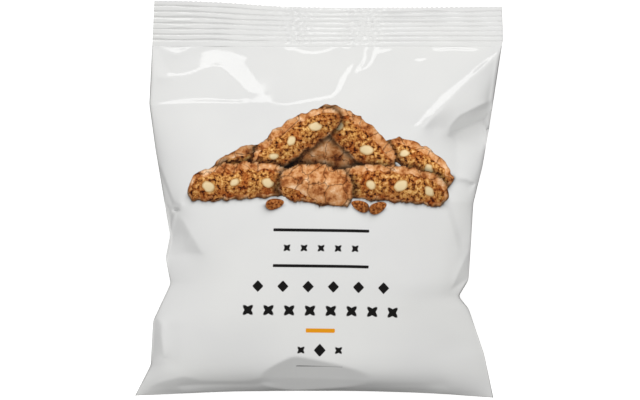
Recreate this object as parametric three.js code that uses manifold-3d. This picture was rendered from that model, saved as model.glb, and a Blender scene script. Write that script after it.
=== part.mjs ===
// A filled snack pack of biscotti: one pillow of white film, lying on its back.
// The film tube is closed by a ribbed crimp seal at each end. The top seal reaches out past the
// filling and droops; the bottom seal is bent down at its fold line and tucked under the end.
// A lap seam runs along the back. The pack is shut, so it is one solid.
//
// Millimetres. +X across the pack, +Y towards the top seal, +Z out of the front.
// The back rests on z = 0, and the origin is under the middle of the outline.

import * as THREE from "three";
import { mergeVertices } from "three/addons/utils/BufferGeometryUtils.js";
import Module from "manifold-3d";

// ---- Driving dimensions -------------------------------------------------------------------

const TOP_SEAL_Y = 51.7; // inner edge of the top seal, where the two films part
const BOTTOM_FOLD_Y = -65; // nominal line where the bottom seal bends down
const SEAL_Z = 12.4; // height of both seal lines above the table
const FILM = 0.5; // half the thickness given to the doubled film
const RIB_PITCH = 1.9; // spacing of the crimp ribs
const RIB_DEPTH = 0.25; // a rib's rise above the seal's middle
const RIBS = 8; // ribs in each seal
const SEAL_LENGTH = RIBS * RIB_PITCH; // width of the crimped band
const FLAP_LEAN = 43; // degrees that the bottom seal leans in under the pack
const SEAM_WIDTH = 11; // lap seam on the back
const SEAM_RISE = 0.5; // how far the seam stands off the film beside it

// Corners of the two side folds, seen from the front, as [y, x]. The film runs straight between
// them, and the steps in and out are where it has buckled.
const LEFT_FOLD = [
  [-66.1, -61.6],
  [-55.5, -56.4],
  [-40.5, -55.4],
  [-28.0, -49.5],
  [-19.5, -51.2],
  [-12.0, -49.7],
  [16.7, -54.9],
  [32.0, -57.1],
  [51.6, -56.2],
];
const RIGHT_FOLD = [
  [-66.9, 58.8],
  [-51.5, 55.2],
  [-36.4, 49.9],
  [-32.3, 46.5],
  [-27.0, 49.8],
  [-1.5, 51.5],
  [11.0, 54.8],
  [26.0, 57.5],
  [51.6, 61.6],
];

// Bottom fold line: its y against the share of the half width, from -1 at the left corner.
const BOTTOM_LINE = [
  [-1, -66.1],
  [-0.4, -64.7],
  [0.15, -64.5],
  [0.6, -65.2],
  [1, -66.9],
];

// Heights along the pack, as [y, value].
const CROWN = [
  [-65, 13],
  [-63.5, 18.5],
  [-61, 24.6],
  [-58, 28.3],
  [-54, 30.3],
  [-48, 31.6],
  [-36, 33.5],
  [-20, 34.6],
  [-6, 34.2],
  [5, 32.6],
  [15, 29.2],
  [25, 24.8],
  [38, 18.8],
  [51.6, 12.9],
];
const KEEL = [
  [-65, 11.8],
  [-60, 9],
  [-56, 5.5],
  [-50, 0],
  [-44, -4],
  [0, -5],
  [15, -2],
  [25, 2],
  [38, 7],
  [51.6, 11.9],
];
const SIDE = [
  [-65, 12.4],
  [-55, 17],
  [-45, 20],
  [-30, 22],
  [-8, 21.5],
  [10, 17],
  [25, 15],
  [51.6, 12.4],
];
// How square each panel's cross-section is: 1 is a lens, 0.5 an oval.
const FRONT_ROUNDNESS = [
  [-65, 1],
  [-58, 0.9],
  [-15, 0.88],
  [6, 0.62],
  [22, 0.6],
  [36, 0.85],
  [51.6, 1],
];
const BACK_ROUNDNESS = [
  [-65, 1],
  [-58, 0.72],
  [-48, 0.52],
  [0, 0.5],
  [25, 0.62],
  [38, 0.85],
  [51.6, 1],
];
const FLATNESS = 2.3; // power that keeps the middle of each panel flat

// The flat facet that the film has pulled tight at the top right ear: three points [x, y, z] on
// it, the y where it starts and where it is complete, and the height its edge is rounded over.
const EAR_FACET = {
  corners: [[61.6, 51.5, 12.4], [37, 23.5, 23.5], [57.4, 22, 14]],
  fade: [14, 28],
  blend: 1.5,
};

// The shallow dart pressed in just above the bottom fold: its upper end, how steeply it falls
// towards the fold, how steeply it rises to its left and right, and how its valley is rounded.
const DISH = { peak: [-8, -51.7, 31], fall: 1.35, spread: [0.5, 0.22], ease: 1.6, blend: 0.45 };

// Soft dents in the front, each a groove between two points [x, y].
const DENTS = [
  { from: [48.5, -13], to: [45, -30], width: 3, depth: 1.6 }, // above the right notch
  { from: [39, 24], to: [56, 29], width: 3.5, depth: 1.6 }, // below the top right ear
  { from: [-48.5, -3], to: [-44, -17], width: 3.6, depth: 1.8 }, // left pinch
  { from: [-50, -44], to: [-50, -53], width: 3, depth: 1.2 }, // lower left
];

// Top seal: how far it droops, in degrees, against x. Its left corner stands up a little.
const DROOP = [
  [-57, -6],
  [-46, 1],
  [-36, 9],
  [-12, 25],
  [8, 30.5],
  [20, 29.5],
  [62, 25],
];
const SEAL_WAVE = 0.7; // the seal lines ripple up and down by this
const SEAL_WAVE_LENGTH = 78;
const WAVE_REACH = 16; // how far into the pack the ripple carries

const AROUND = 35; // steps across each panel, an odd number so that the seam is in the middle
const ROWS = 50; // steps along the pack
const SEAL_COLUMNS = 16; // steps across a seal

// ---- Curves -------------------------------------------------------------------------------

/** A smooth curve through [position, value] pairs that never overshoots them. */
function curve(pairs) {
  const n = pairs.length;
  const at = pairs.map((p) => p[0]);
  const value = pairs.map((p) => p[1]);
  const rise = at.slice(1).map((a, i) => (value[i + 1] - value[i]) / (a - at[i]));
  const slope = at.map((_, i) => {
    if (i === 0) return rise[0];
    if (i === n - 1) return rise[n - 2];
    const [before, after] = [rise[i - 1], rise[i]];
    return before * after <= 0 ? 0 : (2 * before * after) / (before + after);
  });
  return (x) => {
    const clamped = Math.min(Math.max(x, at[0]), at[n - 1]);
    let i = 0;
    while (i < n - 2 && clamped > at[i + 1]) i += 1;
    const span = at[i + 1] - at[i];
    const u = (clamped - at[i]) / span;
    const keep = (1 + 2 * u) * (1 - u) ** 2;
    const lead = u * (1 - u) ** 2 * span;
    const trail = u * u * (u - 1) * span;
    return keep * value[i] + (1 - keep) * value[i + 1] + lead * slope[i] + trail * slope[i + 1];
  };
}

/** Straight runs between [position, value] pairs, with each corner eased over a length. */
function fold(pairs, ease) {
  const straight = (x) => {
    let i = 0;
    while (i < pairs.length - 2 && x > pairs[i + 1][0]) i += 1;
    const [[a, va], [b, vb]] = [pairs[i], pairs[i + 1]];
    return va + ((vb - va) * (x - a)) / (b - a);
  };
  const weights = [1, 2, 3, 2, 1];
  return (x) => weights.reduce((sum, w, i) => sum + (w / 9) * straight(x + ((i - 2) * ease) / 2), 0);
}

/** The smaller of two heights, rounded where they cross. */
function softMin(a, b, blend) {
  const h = Math.max(blend - Math.abs(a - b), 0) / blend;
  return Math.min(a, b) - (h * h * blend) / 4;
}

/** Height at (x, y) of the plane through three points. */
function planeThrough([p, q, r]) {
  const plane = new THREE.Plane().setFromCoplanarPoints(
    new THREE.Vector3(...p),
    new THREE.Vector3(...q),
    new THREE.Vector3(...r),
  );
  const { normal, constant } = plane;
  return (x, y) => -(normal.x * x + normal.y * y + constant) / normal.z;
}

/** Depth at (x, y) of one groove. */
function grooveDepth({ from, to, width, depth }, x, y) {
  const line = new THREE.Line3(new THREE.Vector3(...from, 0), new THREE.Vector3(...to, 0));
  const here = new THREE.Vector3(x, y, 0);
  const nearest = line.closestPointToPoint(here, true, new THREE.Vector3());
  return depth * Math.exp(-((here.distanceTo(nearest) / width) ** 2));
}

const CORNER_EASE = 1.2; // a buckled corner of a side fold is this sharp
const PANEL_EASE = 16; // and the panels beside it follow the fold this gently
const leftFold = fold(LEFT_FOLD, CORNER_EASE);
const rightFold = fold(RIGHT_FOLD, CORNER_EASE);
const leftPanel = fold(LEFT_FOLD, PANEL_EASE);
const rightPanel = fold(RIGHT_FOLD, PANEL_EASE);
const bottomLine = curve(BOTTOM_LINE);
const crown = curve(CROWN);
const keel = curve(KEEL);
const side = curve(SIDE);
const frontRoundness = curve(FRONT_ROUNDNESS);
const backRoundness = curve(BACK_ROUNDNESS);
const droop = curve(DROOP);
const earPlane = planeThrough(EAR_FACET.corners);

/** How much the seal lines ripple at (x, y). */
function ripple(x, y) {
  const inwards = Math.min(TOP_SEAL_Y - y, y - BOTTOM_FOLD_Y);
  const fade = Math.exp(-((Math.max(inwards, 0) / WAVE_REACH) ** 2));
  return SEAL_WAVE * fade * Math.sin((2 * Math.PI * x) / SEAL_WAVE_LENGTH);
}

// ---- The pillow ---------------------------------------------------------------------------

/** Plan position of a point: along is 0 at the bottom fold and 1 at the top seal. */
function planPoint(across, along) {
  const nominal = THREE.MathUtils.lerp(BOTTOM_FOLD_Y, TOP_SEAL_Y, along);
  const y = THREE.MathUtils.lerp(bottomLine(across), TOP_SEAL_Y, along);
  const broad = THREE.MathUtils.lerp(leftPanel(y), rightPanel(y), (across + 1) / 2);
  const buckle = across < 0 ? leftFold(y) - leftPanel(y) : rightFold(y) - rightPanel(y);
  return { x: broad + buckle * Math.abs(across) ** 7, y, nominal };
}

/** How far a panel bulges at this place, as a share of its bulge in the middle. */
function bulge(across, roundness) {
  return (1 - Math.abs(across) ** FLATNESS) ** roundness;
}

/** The height z lowered to the ear facet, but not below the side fold. */
function cutEar(x, y, z, low) {
  const { fade, blend } = EAR_FACET;
  const cut = Math.max(softMin(z, earPlane(x, y), blend), Math.min(z, low));
  return THREE.MathUtils.lerp(z, cut, THREE.MathUtils.smoothstep(y, ...fade));
}

/** The height z lowered to the dish. */
function cutDish(x, y, z) {
  const { peak, fall, spread, ease, blend } = DISH;
  const aside = x - peak[0];
  const rise = (aside < 0 ? spread[0] : spread[1]) * (Math.hypot(aside, ease) - ease);
  return softMin(z, peak[2] + fall * (y - peak[1]) + rise, blend);
}

/** A point of the front panel. */
function frontPoint(across, along) {
  const { x, y, nominal } = planPoint(across, along);
  const low = side(nominal);
  const swell = bulge(across, frontRoundness(nominal));
  let z = low + (crown(nominal) - low) * swell;
  for (const dent of DENTS) z -= grooveDepth(dent, x, y) * swell;
  z = cutDish(x, y, cutEar(x, y, z, low));
  return new THREE.Vector3(x, y, z + ripple(x, y));
}

/** A point of the back panel, which lies flat where it meets the table. */
function backPoint(across, along) {
  const { x, y, nominal } = planPoint(across, along);
  const low = side(nominal);
  const z = low - (low - keel(nominal)) * bulge(across, backRoundness(nominal)) + ripple(x, y);
  return new THREE.Vector3(x, y, Math.max(z, 0));
}

/**
 * The back panel's four columns at the lap seam: the seam stands off the film beside it, and
 * lies flush where the pack rests. On its free edge the film steps down, so there it stays
 * clear of the table.
 */
function seamPoints(along) {
  const rise = SEAM_RISE * Math.min(1, 30 * along * (1 - along));
  const half = SEAM_WIDTH / 2;
  const columns = [
    { x: -half - 0.1, lift: 0, least: 0 },
    { x: -half, lift: -rise, least: 0 },
    { x: half, lift: -rise, least: 0 },
    { x: half + 0.1, lift: 0, least: rise },
  ];
  return columns.map(({ x, lift, least }) => {
    const point = backPoint((2 * x) / (RIGHT_FOLD[0][1] - LEFT_FOLD[0][1]), along);
    return point.set(x, point.y, Math.max(point.z + lift, least));
  });
}

/** A closed geometry from rows of points that each go once round the section. */
function closedLoft(rows) {
  const round = rows[0].length;
  const points = rows.flat();
  const faces = [];
  const at = (i, j) => i * round + (j % round);
  for (let i = 0; i < rows.length - 1; i += 1)
    for (let j = 0; j < round; j += 1) {
      faces.push(at(i, j), at(i + 1, j + 1), at(i, j + 1));
      faces.push(at(i, j), at(i + 1, j), at(i + 1, j + 1));
    }
  // Each end is closed by strips across the flat loop.
  const half = round / 2;
  const cap = (row, last) => {
    for (let j = 0; j < half; j += 1) {
      const [a, b] = [at(row, j), at(row, j + 1)];
      const [c, d] = [at(row, (round - j) % round), at(row, round - j - 1)];
      for (const tri of [[a, c, d], [a, d, b]]) {
        if (new Set(tri).size < 3) continue;
        faces.push(...(last ? tri : [tri[0], tri[2], tri[1]]));
      }
    }
  };
  cap(0, false);
  cap(rows.length - 1, true);
  const geometry = new THREE.BufferGeometry().setFromPoints(points);
  geometry.setIndex(faces);
  return geometry;
}

// ---- The crimp seals ----------------------------------------------------------------------

/** Distances from a seal's root at which its ribs turn: crests and troughs by turns. */
const ribTurns = Array.from({ length: 2 * RIBS }, (_, k) => ((k + 1) * RIB_PITCH) / 2);

/** How far the film stands off the seal's middle surface at turn k, on its upper or lower side. */
function ribOffset(k, upper) {
  return (k % 2 === 0 ? RIB_DEPTH : -RIB_DEPTH) + (upper ? FILM : -FILM);
}

/** One row of the top seal, round its section in the same order as a row of the pillow. */
function topSealRow(q, k) {
  const [left, right] = [leftFold(TOP_SEAL_Y) + 0.05 * q, rightFold(TOP_SEAL_Y)];
  const row = [];
  for (let j = 0; j < 2 * AROUND; j += 1) {
    const across = Math.cos((Math.PI * j) / AROUND);
    const x = THREE.MathUtils.lerp(left, right, (across + 1) / 2);
    const tilt = THREE.MathUtils.degToRad(droop(x));
    const onFold = j % AROUND === 0;
    const offset = onFold ? ribOffset(k, true) - FILM : ribOffset(k, j < AROUND);
    row.push(
      new THREE.Vector3(
        x,
        TOP_SEAL_Y + q * Math.cos(tilt) + offset * Math.sin(tilt),
        SEAL_Z + ripple(x, TOP_SEAL_Y) - q * Math.sin(tilt) + offset * Math.cos(tilt),
      ),
    );
  }
  return row;
}

/** The bottom seal, bent down at the fold line and leaning in under the pack. */
function bottomSeal() {
  const lean = THREE.MathUtils.degToRad(FLAP_LEAN);
  const [left, right] = [LEFT_FOLD[0][1], RIGHT_FOLD[0][1]];
  const inset = 0.8; // its two ends are drawn in behind the side folds
  const rows = [-0.3, ...ribTurns].map((q, k) => {
    const inwards = q * Math.sin(lean);
    const from = leftFold(LEFT_FOLD[0][0] + inwards) + inset;
    const to = rightFold(RIGHT_FOLD[0][0] + inwards) - inset;
    const edge = (upper) =>
      Array.from({ length: SEAL_COLUMNS + 1 }, (_, i) => {
        const x = THREE.MathUtils.lerp(to, from, i / SEAL_COLUMNS);
        const across = THREE.MathUtils.clamp((2 * (x - left)) / (right - left) - 1, -1, 1);
        const offset = k === 0 ? ribOffset(1, upper) + RIB_DEPTH : ribOffset(k - 1, upper);
        return new THREE.Vector3(
          x,
          bottomLine(across) + 2 * FILM + inwards + offset * Math.cos(lean),
          SEAL_Z + ripple(x, BOTTOM_FOLD_Y) - q * Math.cos(lean) + offset * Math.sin(lean),
        );
      });
    return [...edge(true), ...edge(false).reverse()];
  });
  return closedLoft(rows);
}

/** Share along the pack of each row, closer together at the two ends. */
function rowShare(i) {
  const even = i / ROWS;
  return even - (0.55 * Math.sin(2 * Math.PI * even)) / (2 * Math.PI);
}

/** The filled part and the top seal, from the bottom fold to the seal's free edge. */
function pillow() {
  const rows = [];
  const firstSeamColumn = Math.round(1.5 * AROUND) - 2;
  for (let i = 0; i <= ROWS; i += 1) {
    const along = rowShare(i);
    const row = [];
    for (let j = 0; j < 2 * AROUND; j += 1) {
      const across = Math.cos((Math.PI * j) / AROUND);
      row.push(j < AROUND ? frontPoint(across, along) : backPoint(across, along));
    }
    row.splice(firstSeamColumn, 4, ...seamPoints(along));
    rows.push(row);
  }
  return closedLoft([...rows, ...ribTurns.map(topSealRow)]);
}

// ---- One solid ----------------------------------------------------------------------------

const wasm = await Module();
wasm.setup();

/** A closed geometry as a solid, and a solid as a geometry. */
function toSolid(geometry) {
  const bare = geometry.index ? geometry.toNonIndexed() : geometry.clone();
  for (const name of Object.keys(bare.attributes)) if (name !== "position") bare.deleteAttribute(name);
  const merged = mergeVertices(bare, 1e-4);
  return new wasm.Manifold(
    new wasm.Mesh({
      numProp: 3,
      vertProperties: merged.attributes.position.array,
      triVerts: new Uint32Array(merged.index.array),
    }),
  );
}

function toGeometry(solid) {
  const mesh = solid.getMesh();
  return new THREE.BufferGeometry()
    .setAttribute("position", new THREE.BufferAttribute(mesh.vertProperties, 3))
    .setIndex(new THREE.BufferAttribute(mesh.triVerts, 1));
}

const joined = toSolid(pillow()).add(toSolid(bottomSeal()));

const pack = new THREE.Mesh(
  toGeometry(joined),
  new THREE.MeshStandardMaterial({ color: 0xe4e4e2, roughness: 0.3, metalness: 0 }),
);
pack.name = "film_pack";

const biscottiPack = new THREE.Group();
biscottiPack.add(pack);

export default biscottiPack;
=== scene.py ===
"""A filled pillow pack of biscotti, lying on its back on a pale studio table.

The pack is one tube of white printed film. Its two ends are closed by ribbed crimp seals, and a
lap seam runs down its back. Sizes are in millimetres until a mesh is made, and heights are above
the table.
"""

import logging
import math
from dataclasses import dataclass, field
from enum import Enum
from typing import Callable, Sequence

import bpy
import numpy as np
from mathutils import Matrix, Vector

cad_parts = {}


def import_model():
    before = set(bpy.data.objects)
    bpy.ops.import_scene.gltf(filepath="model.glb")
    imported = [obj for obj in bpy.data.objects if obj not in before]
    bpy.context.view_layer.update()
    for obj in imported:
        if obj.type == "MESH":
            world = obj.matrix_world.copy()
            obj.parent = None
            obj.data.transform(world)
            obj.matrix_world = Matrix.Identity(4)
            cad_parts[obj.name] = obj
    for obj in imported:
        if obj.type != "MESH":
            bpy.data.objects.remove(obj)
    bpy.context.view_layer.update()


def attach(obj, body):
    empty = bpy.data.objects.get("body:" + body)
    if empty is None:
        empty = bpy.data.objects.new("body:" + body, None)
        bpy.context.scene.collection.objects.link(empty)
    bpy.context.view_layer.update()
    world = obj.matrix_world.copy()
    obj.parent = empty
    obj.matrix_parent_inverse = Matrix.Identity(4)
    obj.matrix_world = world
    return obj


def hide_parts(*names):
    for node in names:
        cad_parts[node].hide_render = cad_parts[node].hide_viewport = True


Array = np.ndarray
Pairs = Sequence[tuple[float, float]]
Curve = Callable[[Array], Array]
Tree = bpy.types.NodeTree
Socket = bpy.types.NodeSocket
Stops = Sequence[tuple[float, str]]

MM = 0.001
TUBE_HALF = 60.0  # half the width of the film tube when flat, in millimetres
NODE = "film_pack"
BAKE_UV = "OFBake"
UV_SPAN = 256.0  # millimetres of film across the whole of the UV square
FRONT_MIDDLE = (68.0, 85.0)  # where the middle of the front lies in it, in millimetres

log = logging.getLogger("biscotti_pack")


# ---- Curves and small surface tools -------------------------------------------------------


def cubic_curve(at: Array, value: Array, slope: Array) -> Curve:
    """Makes the curve that has a given value and slope at each point.

    Args:
        at: position of each point, in order.
        value: value at each point.
        slope: slope at each point.

    Returns:
        A function from positions to values, held at the first and last value outside.
    """

    def evaluate(x: Array) -> Array:
        """Follows the curve.

        Args:
            x: positions.

        Returns:
            The curve's values there.
        """
        x = np.clip(x, at[0], at[-1])
        i = np.clip(np.searchsorted(at, x, side="left") - 1, 0, len(at) - 2)
        span = at[i + 1] - at[i]
        u = (x - at[i]) / span
        keep = (1 + 2 * u) * (1 - u) ** 2
        lead = u * (1 - u) ** 2 * span
        trail = u * u * (u - 1) * span
        return keep * value[i] + (1 - keep) * value[i + 1] + lead * slope[i] + trail * slope[i + 1]

    return evaluate


def smooth_curve(pairs: Pairs) -> Curve:
    """Makes a smooth curve through points, which never overshoots them.

    Args:
        pairs: position and value of each point, in order of position.

    Returns:
        A function from positions to values, held at the first and last value outside.
    """
    at, value = np.array(pairs, dtype=float).T
    rise = np.diff(value) / np.diff(at)
    slope = np.concatenate([rise[:1], np.zeros(len(at) - 2), rise[-1:]])
    product = rise[:-1] * rise[1:]
    total = np.where(product > 0, rise[:-1] + rise[1:], 1.0)
    slope[1:-1] = np.where(product > 0, 2 * product / total, 0.0)
    return cubic_curve(at, value, slope)


def spring_curve(pairs: Pairs) -> Curve:
    """Makes a curve through points that bends evenly, as a sprung strip does.

    Args:
        pairs: position and value of each point, in order of position.

    Returns:
        A function from positions to values, held at the first and last value outside.
    """
    at, value = np.array(pairs, dtype=float).T
    span, rise = np.diff(at), np.diff(value)
    count = len(at)
    system, target = np.zeros((count, count)), np.zeros(count)
    # The bend is the same on both sides of each point, and free at both ends.
    system[0, :2], target[0] = (2, 1), 3 * rise[0] / span[0]
    system[-1, -2:], target[-1] = (1, 2), 3 * rise[-1] / span[-1]
    for i in range(1, count - 1):
        before, after = span[i - 1], span[i]
        system[i, i - 1 : i + 2] = (1 / before, 2 / before + 2 / after, 1 / after)
        target[i] = 3 * (rise[i - 1] / before**2 + rise[i] / after**2)
    slope = np.linalg.solve(system, target)
    return cubic_curve(at, value, slope)


def fold_line(pairs: Pairs, ease: float) -> Curve:
    """Makes straight runs between points, with each corner eased.

    Args:
        pairs: position and value of each corner, in order of position.
        ease: length over which a corner is rounded.

    Returns:
        A function from positions to values, which runs on straight past both ends.
    """
    at, value = np.array(pairs, dtype=float).T
    reach, step = 50.0, 0.2
    first, last = ((value[i + 1] - value[i]) / (at[i + 1] - at[i]) for i in (0, len(at) - 2))
    ends = (at[0] - reach, value[0] - reach * first), (at[-1] + reach, value[-1] + reach * last)
    at, value = np.array([ends[0], *pairs, ends[1]], dtype=float).T
    place = np.arange(at[0], at[-1], step)
    window = np.bartlett(2 * round(ease / step) + 3)
    eased = np.convolve(np.interp(place, at, value), window / window.sum(), mode="same")

    def evaluate(x: Array) -> Array:
        """Value of the eased line at x."""
        return np.interp(x, place, eased)

    return evaluate


def soft_min(a: Array, b: Array, blend: float) -> Array:
    """The smaller of two heights, rounded over the length blend where they cross."""
    h = np.maximum(blend - np.abs(a - b), 0) / blend
    return np.minimum(a, b) - h * h * blend / 4


def smooth_step(low: float, high: float, x: Array) -> Array:
    """Rises smoothly from 0 at low to 1 at high."""
    t = np.clip((x - low) / (high - low), 0, 1)
    return t * t * (3 - 2 * t)


def ripple_noise(x: Array, y: Array, size: float, seed: int) -> Array:
    """A smooth random field made of a few crossed waves.

    Args:
        x: first coordinate.
        y: second coordinate.
        size: mean distance between crests.
        seed: picks the field.

    Returns:
        Values of about -1 to 1.
    """
    rng = np.random.default_rng(seed)
    waves = 9
    total = np.zeros(np.broadcast(x, y).shape)
    for _ in range(waves):
        angle, phase = rng.uniform(0, 2 * math.pi, 2)
        pitch = size * rng.uniform(0.6, 1.6)
        total += np.sin(2 * math.pi * (x * math.cos(angle) + y * math.sin(angle)) / pitch + phase)
    return total / math.sqrt(waves)


@dataclass(frozen=True)
class Facet:
    """A flat place where the film is pulled tight.

    Attributes:
        corners: three points x, y, z on it.
        fade: y where it starts and y where it is complete.
        blend: height over which its edge is rounded.
    """

    corners: tuple[tuple[float, float, float], ...]
    fade: tuple[float, float]
    blend: float

    def cut(self, x: Array, y: Array, z: Array, low: Array) -> Array:
        """Lowers heights to this facet.

        Args:
            x: x of each point.
            y: y of each point.
            z: height of each point.
            low: height that no point is lowered below.

        Returns:
            The lowered heights.
        """
        p, q, r = (np.array(c) for c in self.corners)
        normal = np.cross(q - p, r - p)
        plane = p[2] - (normal[0] * (x - p[0]) + normal[1] * (y - p[1])) / normal[2]
        lowered = np.maximum(soft_min(z, plane, self.blend), np.minimum(z, low))
        return z + (lowered - z) * smooth_step(*self.fade, y)


@dataclass(frozen=True)
class Dish:
    """A shallow dart pressed into the front panel just above the bottom fold.

    Attributes:
        peak: x, y, z of its upper end.
        fall: how steeply it falls towards the bottom fold.
        spread: how steeply it rises to its left and to its right.
        ease: half the width of its rounded valley.
        blend: height over which its edge is rounded.
    """

    peak: tuple[float, float, float]
    fall: float
    spread: tuple[float, float]
    ease: float
    blend: float

    def cut(self, x: Array, y: Array, z: Array) -> Array:
        """Lowers heights to the dish where it lies below them.

        Args:
            x: x of each point.
            y: y of each point.
            z: height of each point.

        Returns:
            The lowered heights.
        """
        aside = x - self.peak[0]
        rise = np.where(aside < 0, self.spread[0], self.spread[1])
        level = self.peak[2] + self.fall * (y - self.peak[1])
        return soft_min(z, level + rise * (np.hypot(aside, self.ease) - self.ease), self.blend)


@dataclass(frozen=True)
class Pinch:
    """A small deep dent where folds of film meet.

    Attributes:
        place: its middle in plan.
        reach: half its width and half its height in plan.
        depth: how deep it is.
    """

    place: tuple[float, float]
    reach: tuple[float, float]
    depth: float

    def sink(self, x: Array, y: Array) -> Array:
        """How far the film sinks at a point."""
        across, along = (x - self.place[0]) / self.reach[0], (y - self.place[1]) / self.reach[1]
        return self.depth * np.exp(-(across**2) - along**2)


@dataclass(frozen=True)
class TautPatch:
    """A patch of film pulled to another slope than the film round it.

    Attributes:
        tilt: slope it adds, as rise for each millimetre towards +X and towards +Y.
        edge: half the width over which its border is rounded.
        outline: corners x, y of its border, seen from above.
    """

    tilt: tuple[float, float]
    edge: float
    outline: tuple[tuple[float, float], ...]

    def share(self, x: Array, y: Array) -> Array:
        """Finds how much of the patch's tilt each point gets.

        Args:
            x: x of each point.
            y: y of each point.

        Returns:
            1 inside the patch and 0 outside it, with a rounded border.
        """
        nearest = np.full(x.shape, np.inf)
        inside = np.zeros(x.shape, dtype=bool)
        for (ax, ay), (bx, by) in zip(self.outline, self.outline[1:] + self.outline[:1]):
            dx, dy = bx - ax, by - ay
            t = np.clip(((x - ax) * dx + (y - ay) * dy) / (dx * dx + dy * dy), 0, 1)
            nearest = np.minimum(nearest, np.hypot(x - ax - t * dx, y - ay - t * dy))
            if ay != by:
                inside ^= ((ay > y) != (by > y)) & (x < ax + (y - ay) * dx / dy)
        return smooth_step(-self.edge, self.edge, np.where(inside, nearest, -nearest))


@dataclass
class FilmRelief:
    """The rise and fall that gives each taut patch its slope.

    A film has no steps in it, so it meets the wanted slopes as nearly as one unbroken surface can.
    That is the surface whose curvature is the divergence of those slopes.

    Attributes:
        patches: the taut patches.
        low: x, y of the grid's lower left corner.
        high: x, y of its upper right corner.
        step: distance between grid points.
    """

    patches: tuple[TautPatch, ...]
    low: tuple[float, float] = (-63.0, -68.0)
    high: tuple[float, float] = (63.0, 52.5)
    step: float = 0.35

    def __post_init__(self) -> None:
        """Solves for the heights on a grid."""
        axes = [np.arange(a, b + 0.01, self.step) for a, b in zip(self.low, self.high)]
        x, y = np.meshgrid(*axes)
        slope_x, slope_y = np.zeros(x.shape), np.zeros(x.shape)
        for patch in self.patches:
            share = patch.share(x, y)
            slope_x += patch.tilt[0] * share
            slope_y += patch.tilt[1] * share
        curve = np.gradient(slope_x, self.step, axis=1) + np.gradient(slope_y, self.step, axis=0)
        self.height = self._solve(curve)

    def _solve(self, curve: Array) -> Array:
        """Solves for the surface that has a given curvature.

        Args:
            curve: curvature at each grid point.

        Returns:
            Heights that are zero along the border of the grid.
        """
        inner = curve[1:-1, 1:-1]
        gap = np.zeros((inner.shape[0], 1))
        wide = np.hstack([gap, inner, gap, -inner[:, ::-1]])
        gap = np.zeros((1, wide.shape[1]))
        odd = np.vstack([gap, wide, gap, -wide[::-1]])
        turn_y, turn_x = (2 * math.pi * np.fft.fftfreq(n) for n in odd.shape)
        stiff = (2 * np.cos(turn_y)[:, None] + 2 * np.cos(turn_x)[None, :] - 4) / self.step**2
        stiff[0, 0] = 1.0
        heights = np.fft.ifft2(np.fft.fft2(odd) / stiff).real
        return np.pad(heights[1 : inner.shape[0] + 1, 1 : inner.shape[1] + 1], 1)

    def at(self, x: Array, y: Array) -> Array:
        """Reads the heights between the grid's own points.

        Args:
            x: x of each point.
            y: y of each point.

        Returns:
            The heights.
        """
        rows, columns = self.height.shape
        i = np.clip((x - self.low[0]) / self.step, 0, columns - 1.001)
        j = np.clip((y - self.low[1]) / self.step, 0, rows - 1.001)
        i0, j0 = i.astype(int), j.astype(int)
        u, v = i - i0, j - j0
        lower = self.height[j0, i0] * (1 - u) + self.height[j0, i0 + 1] * u
        upper = self.height[j0 + 1, i0] * (1 - u) + self.height[j0 + 1, i0 + 1] * u
        return lower * (1 - v) + upper * v


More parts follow.
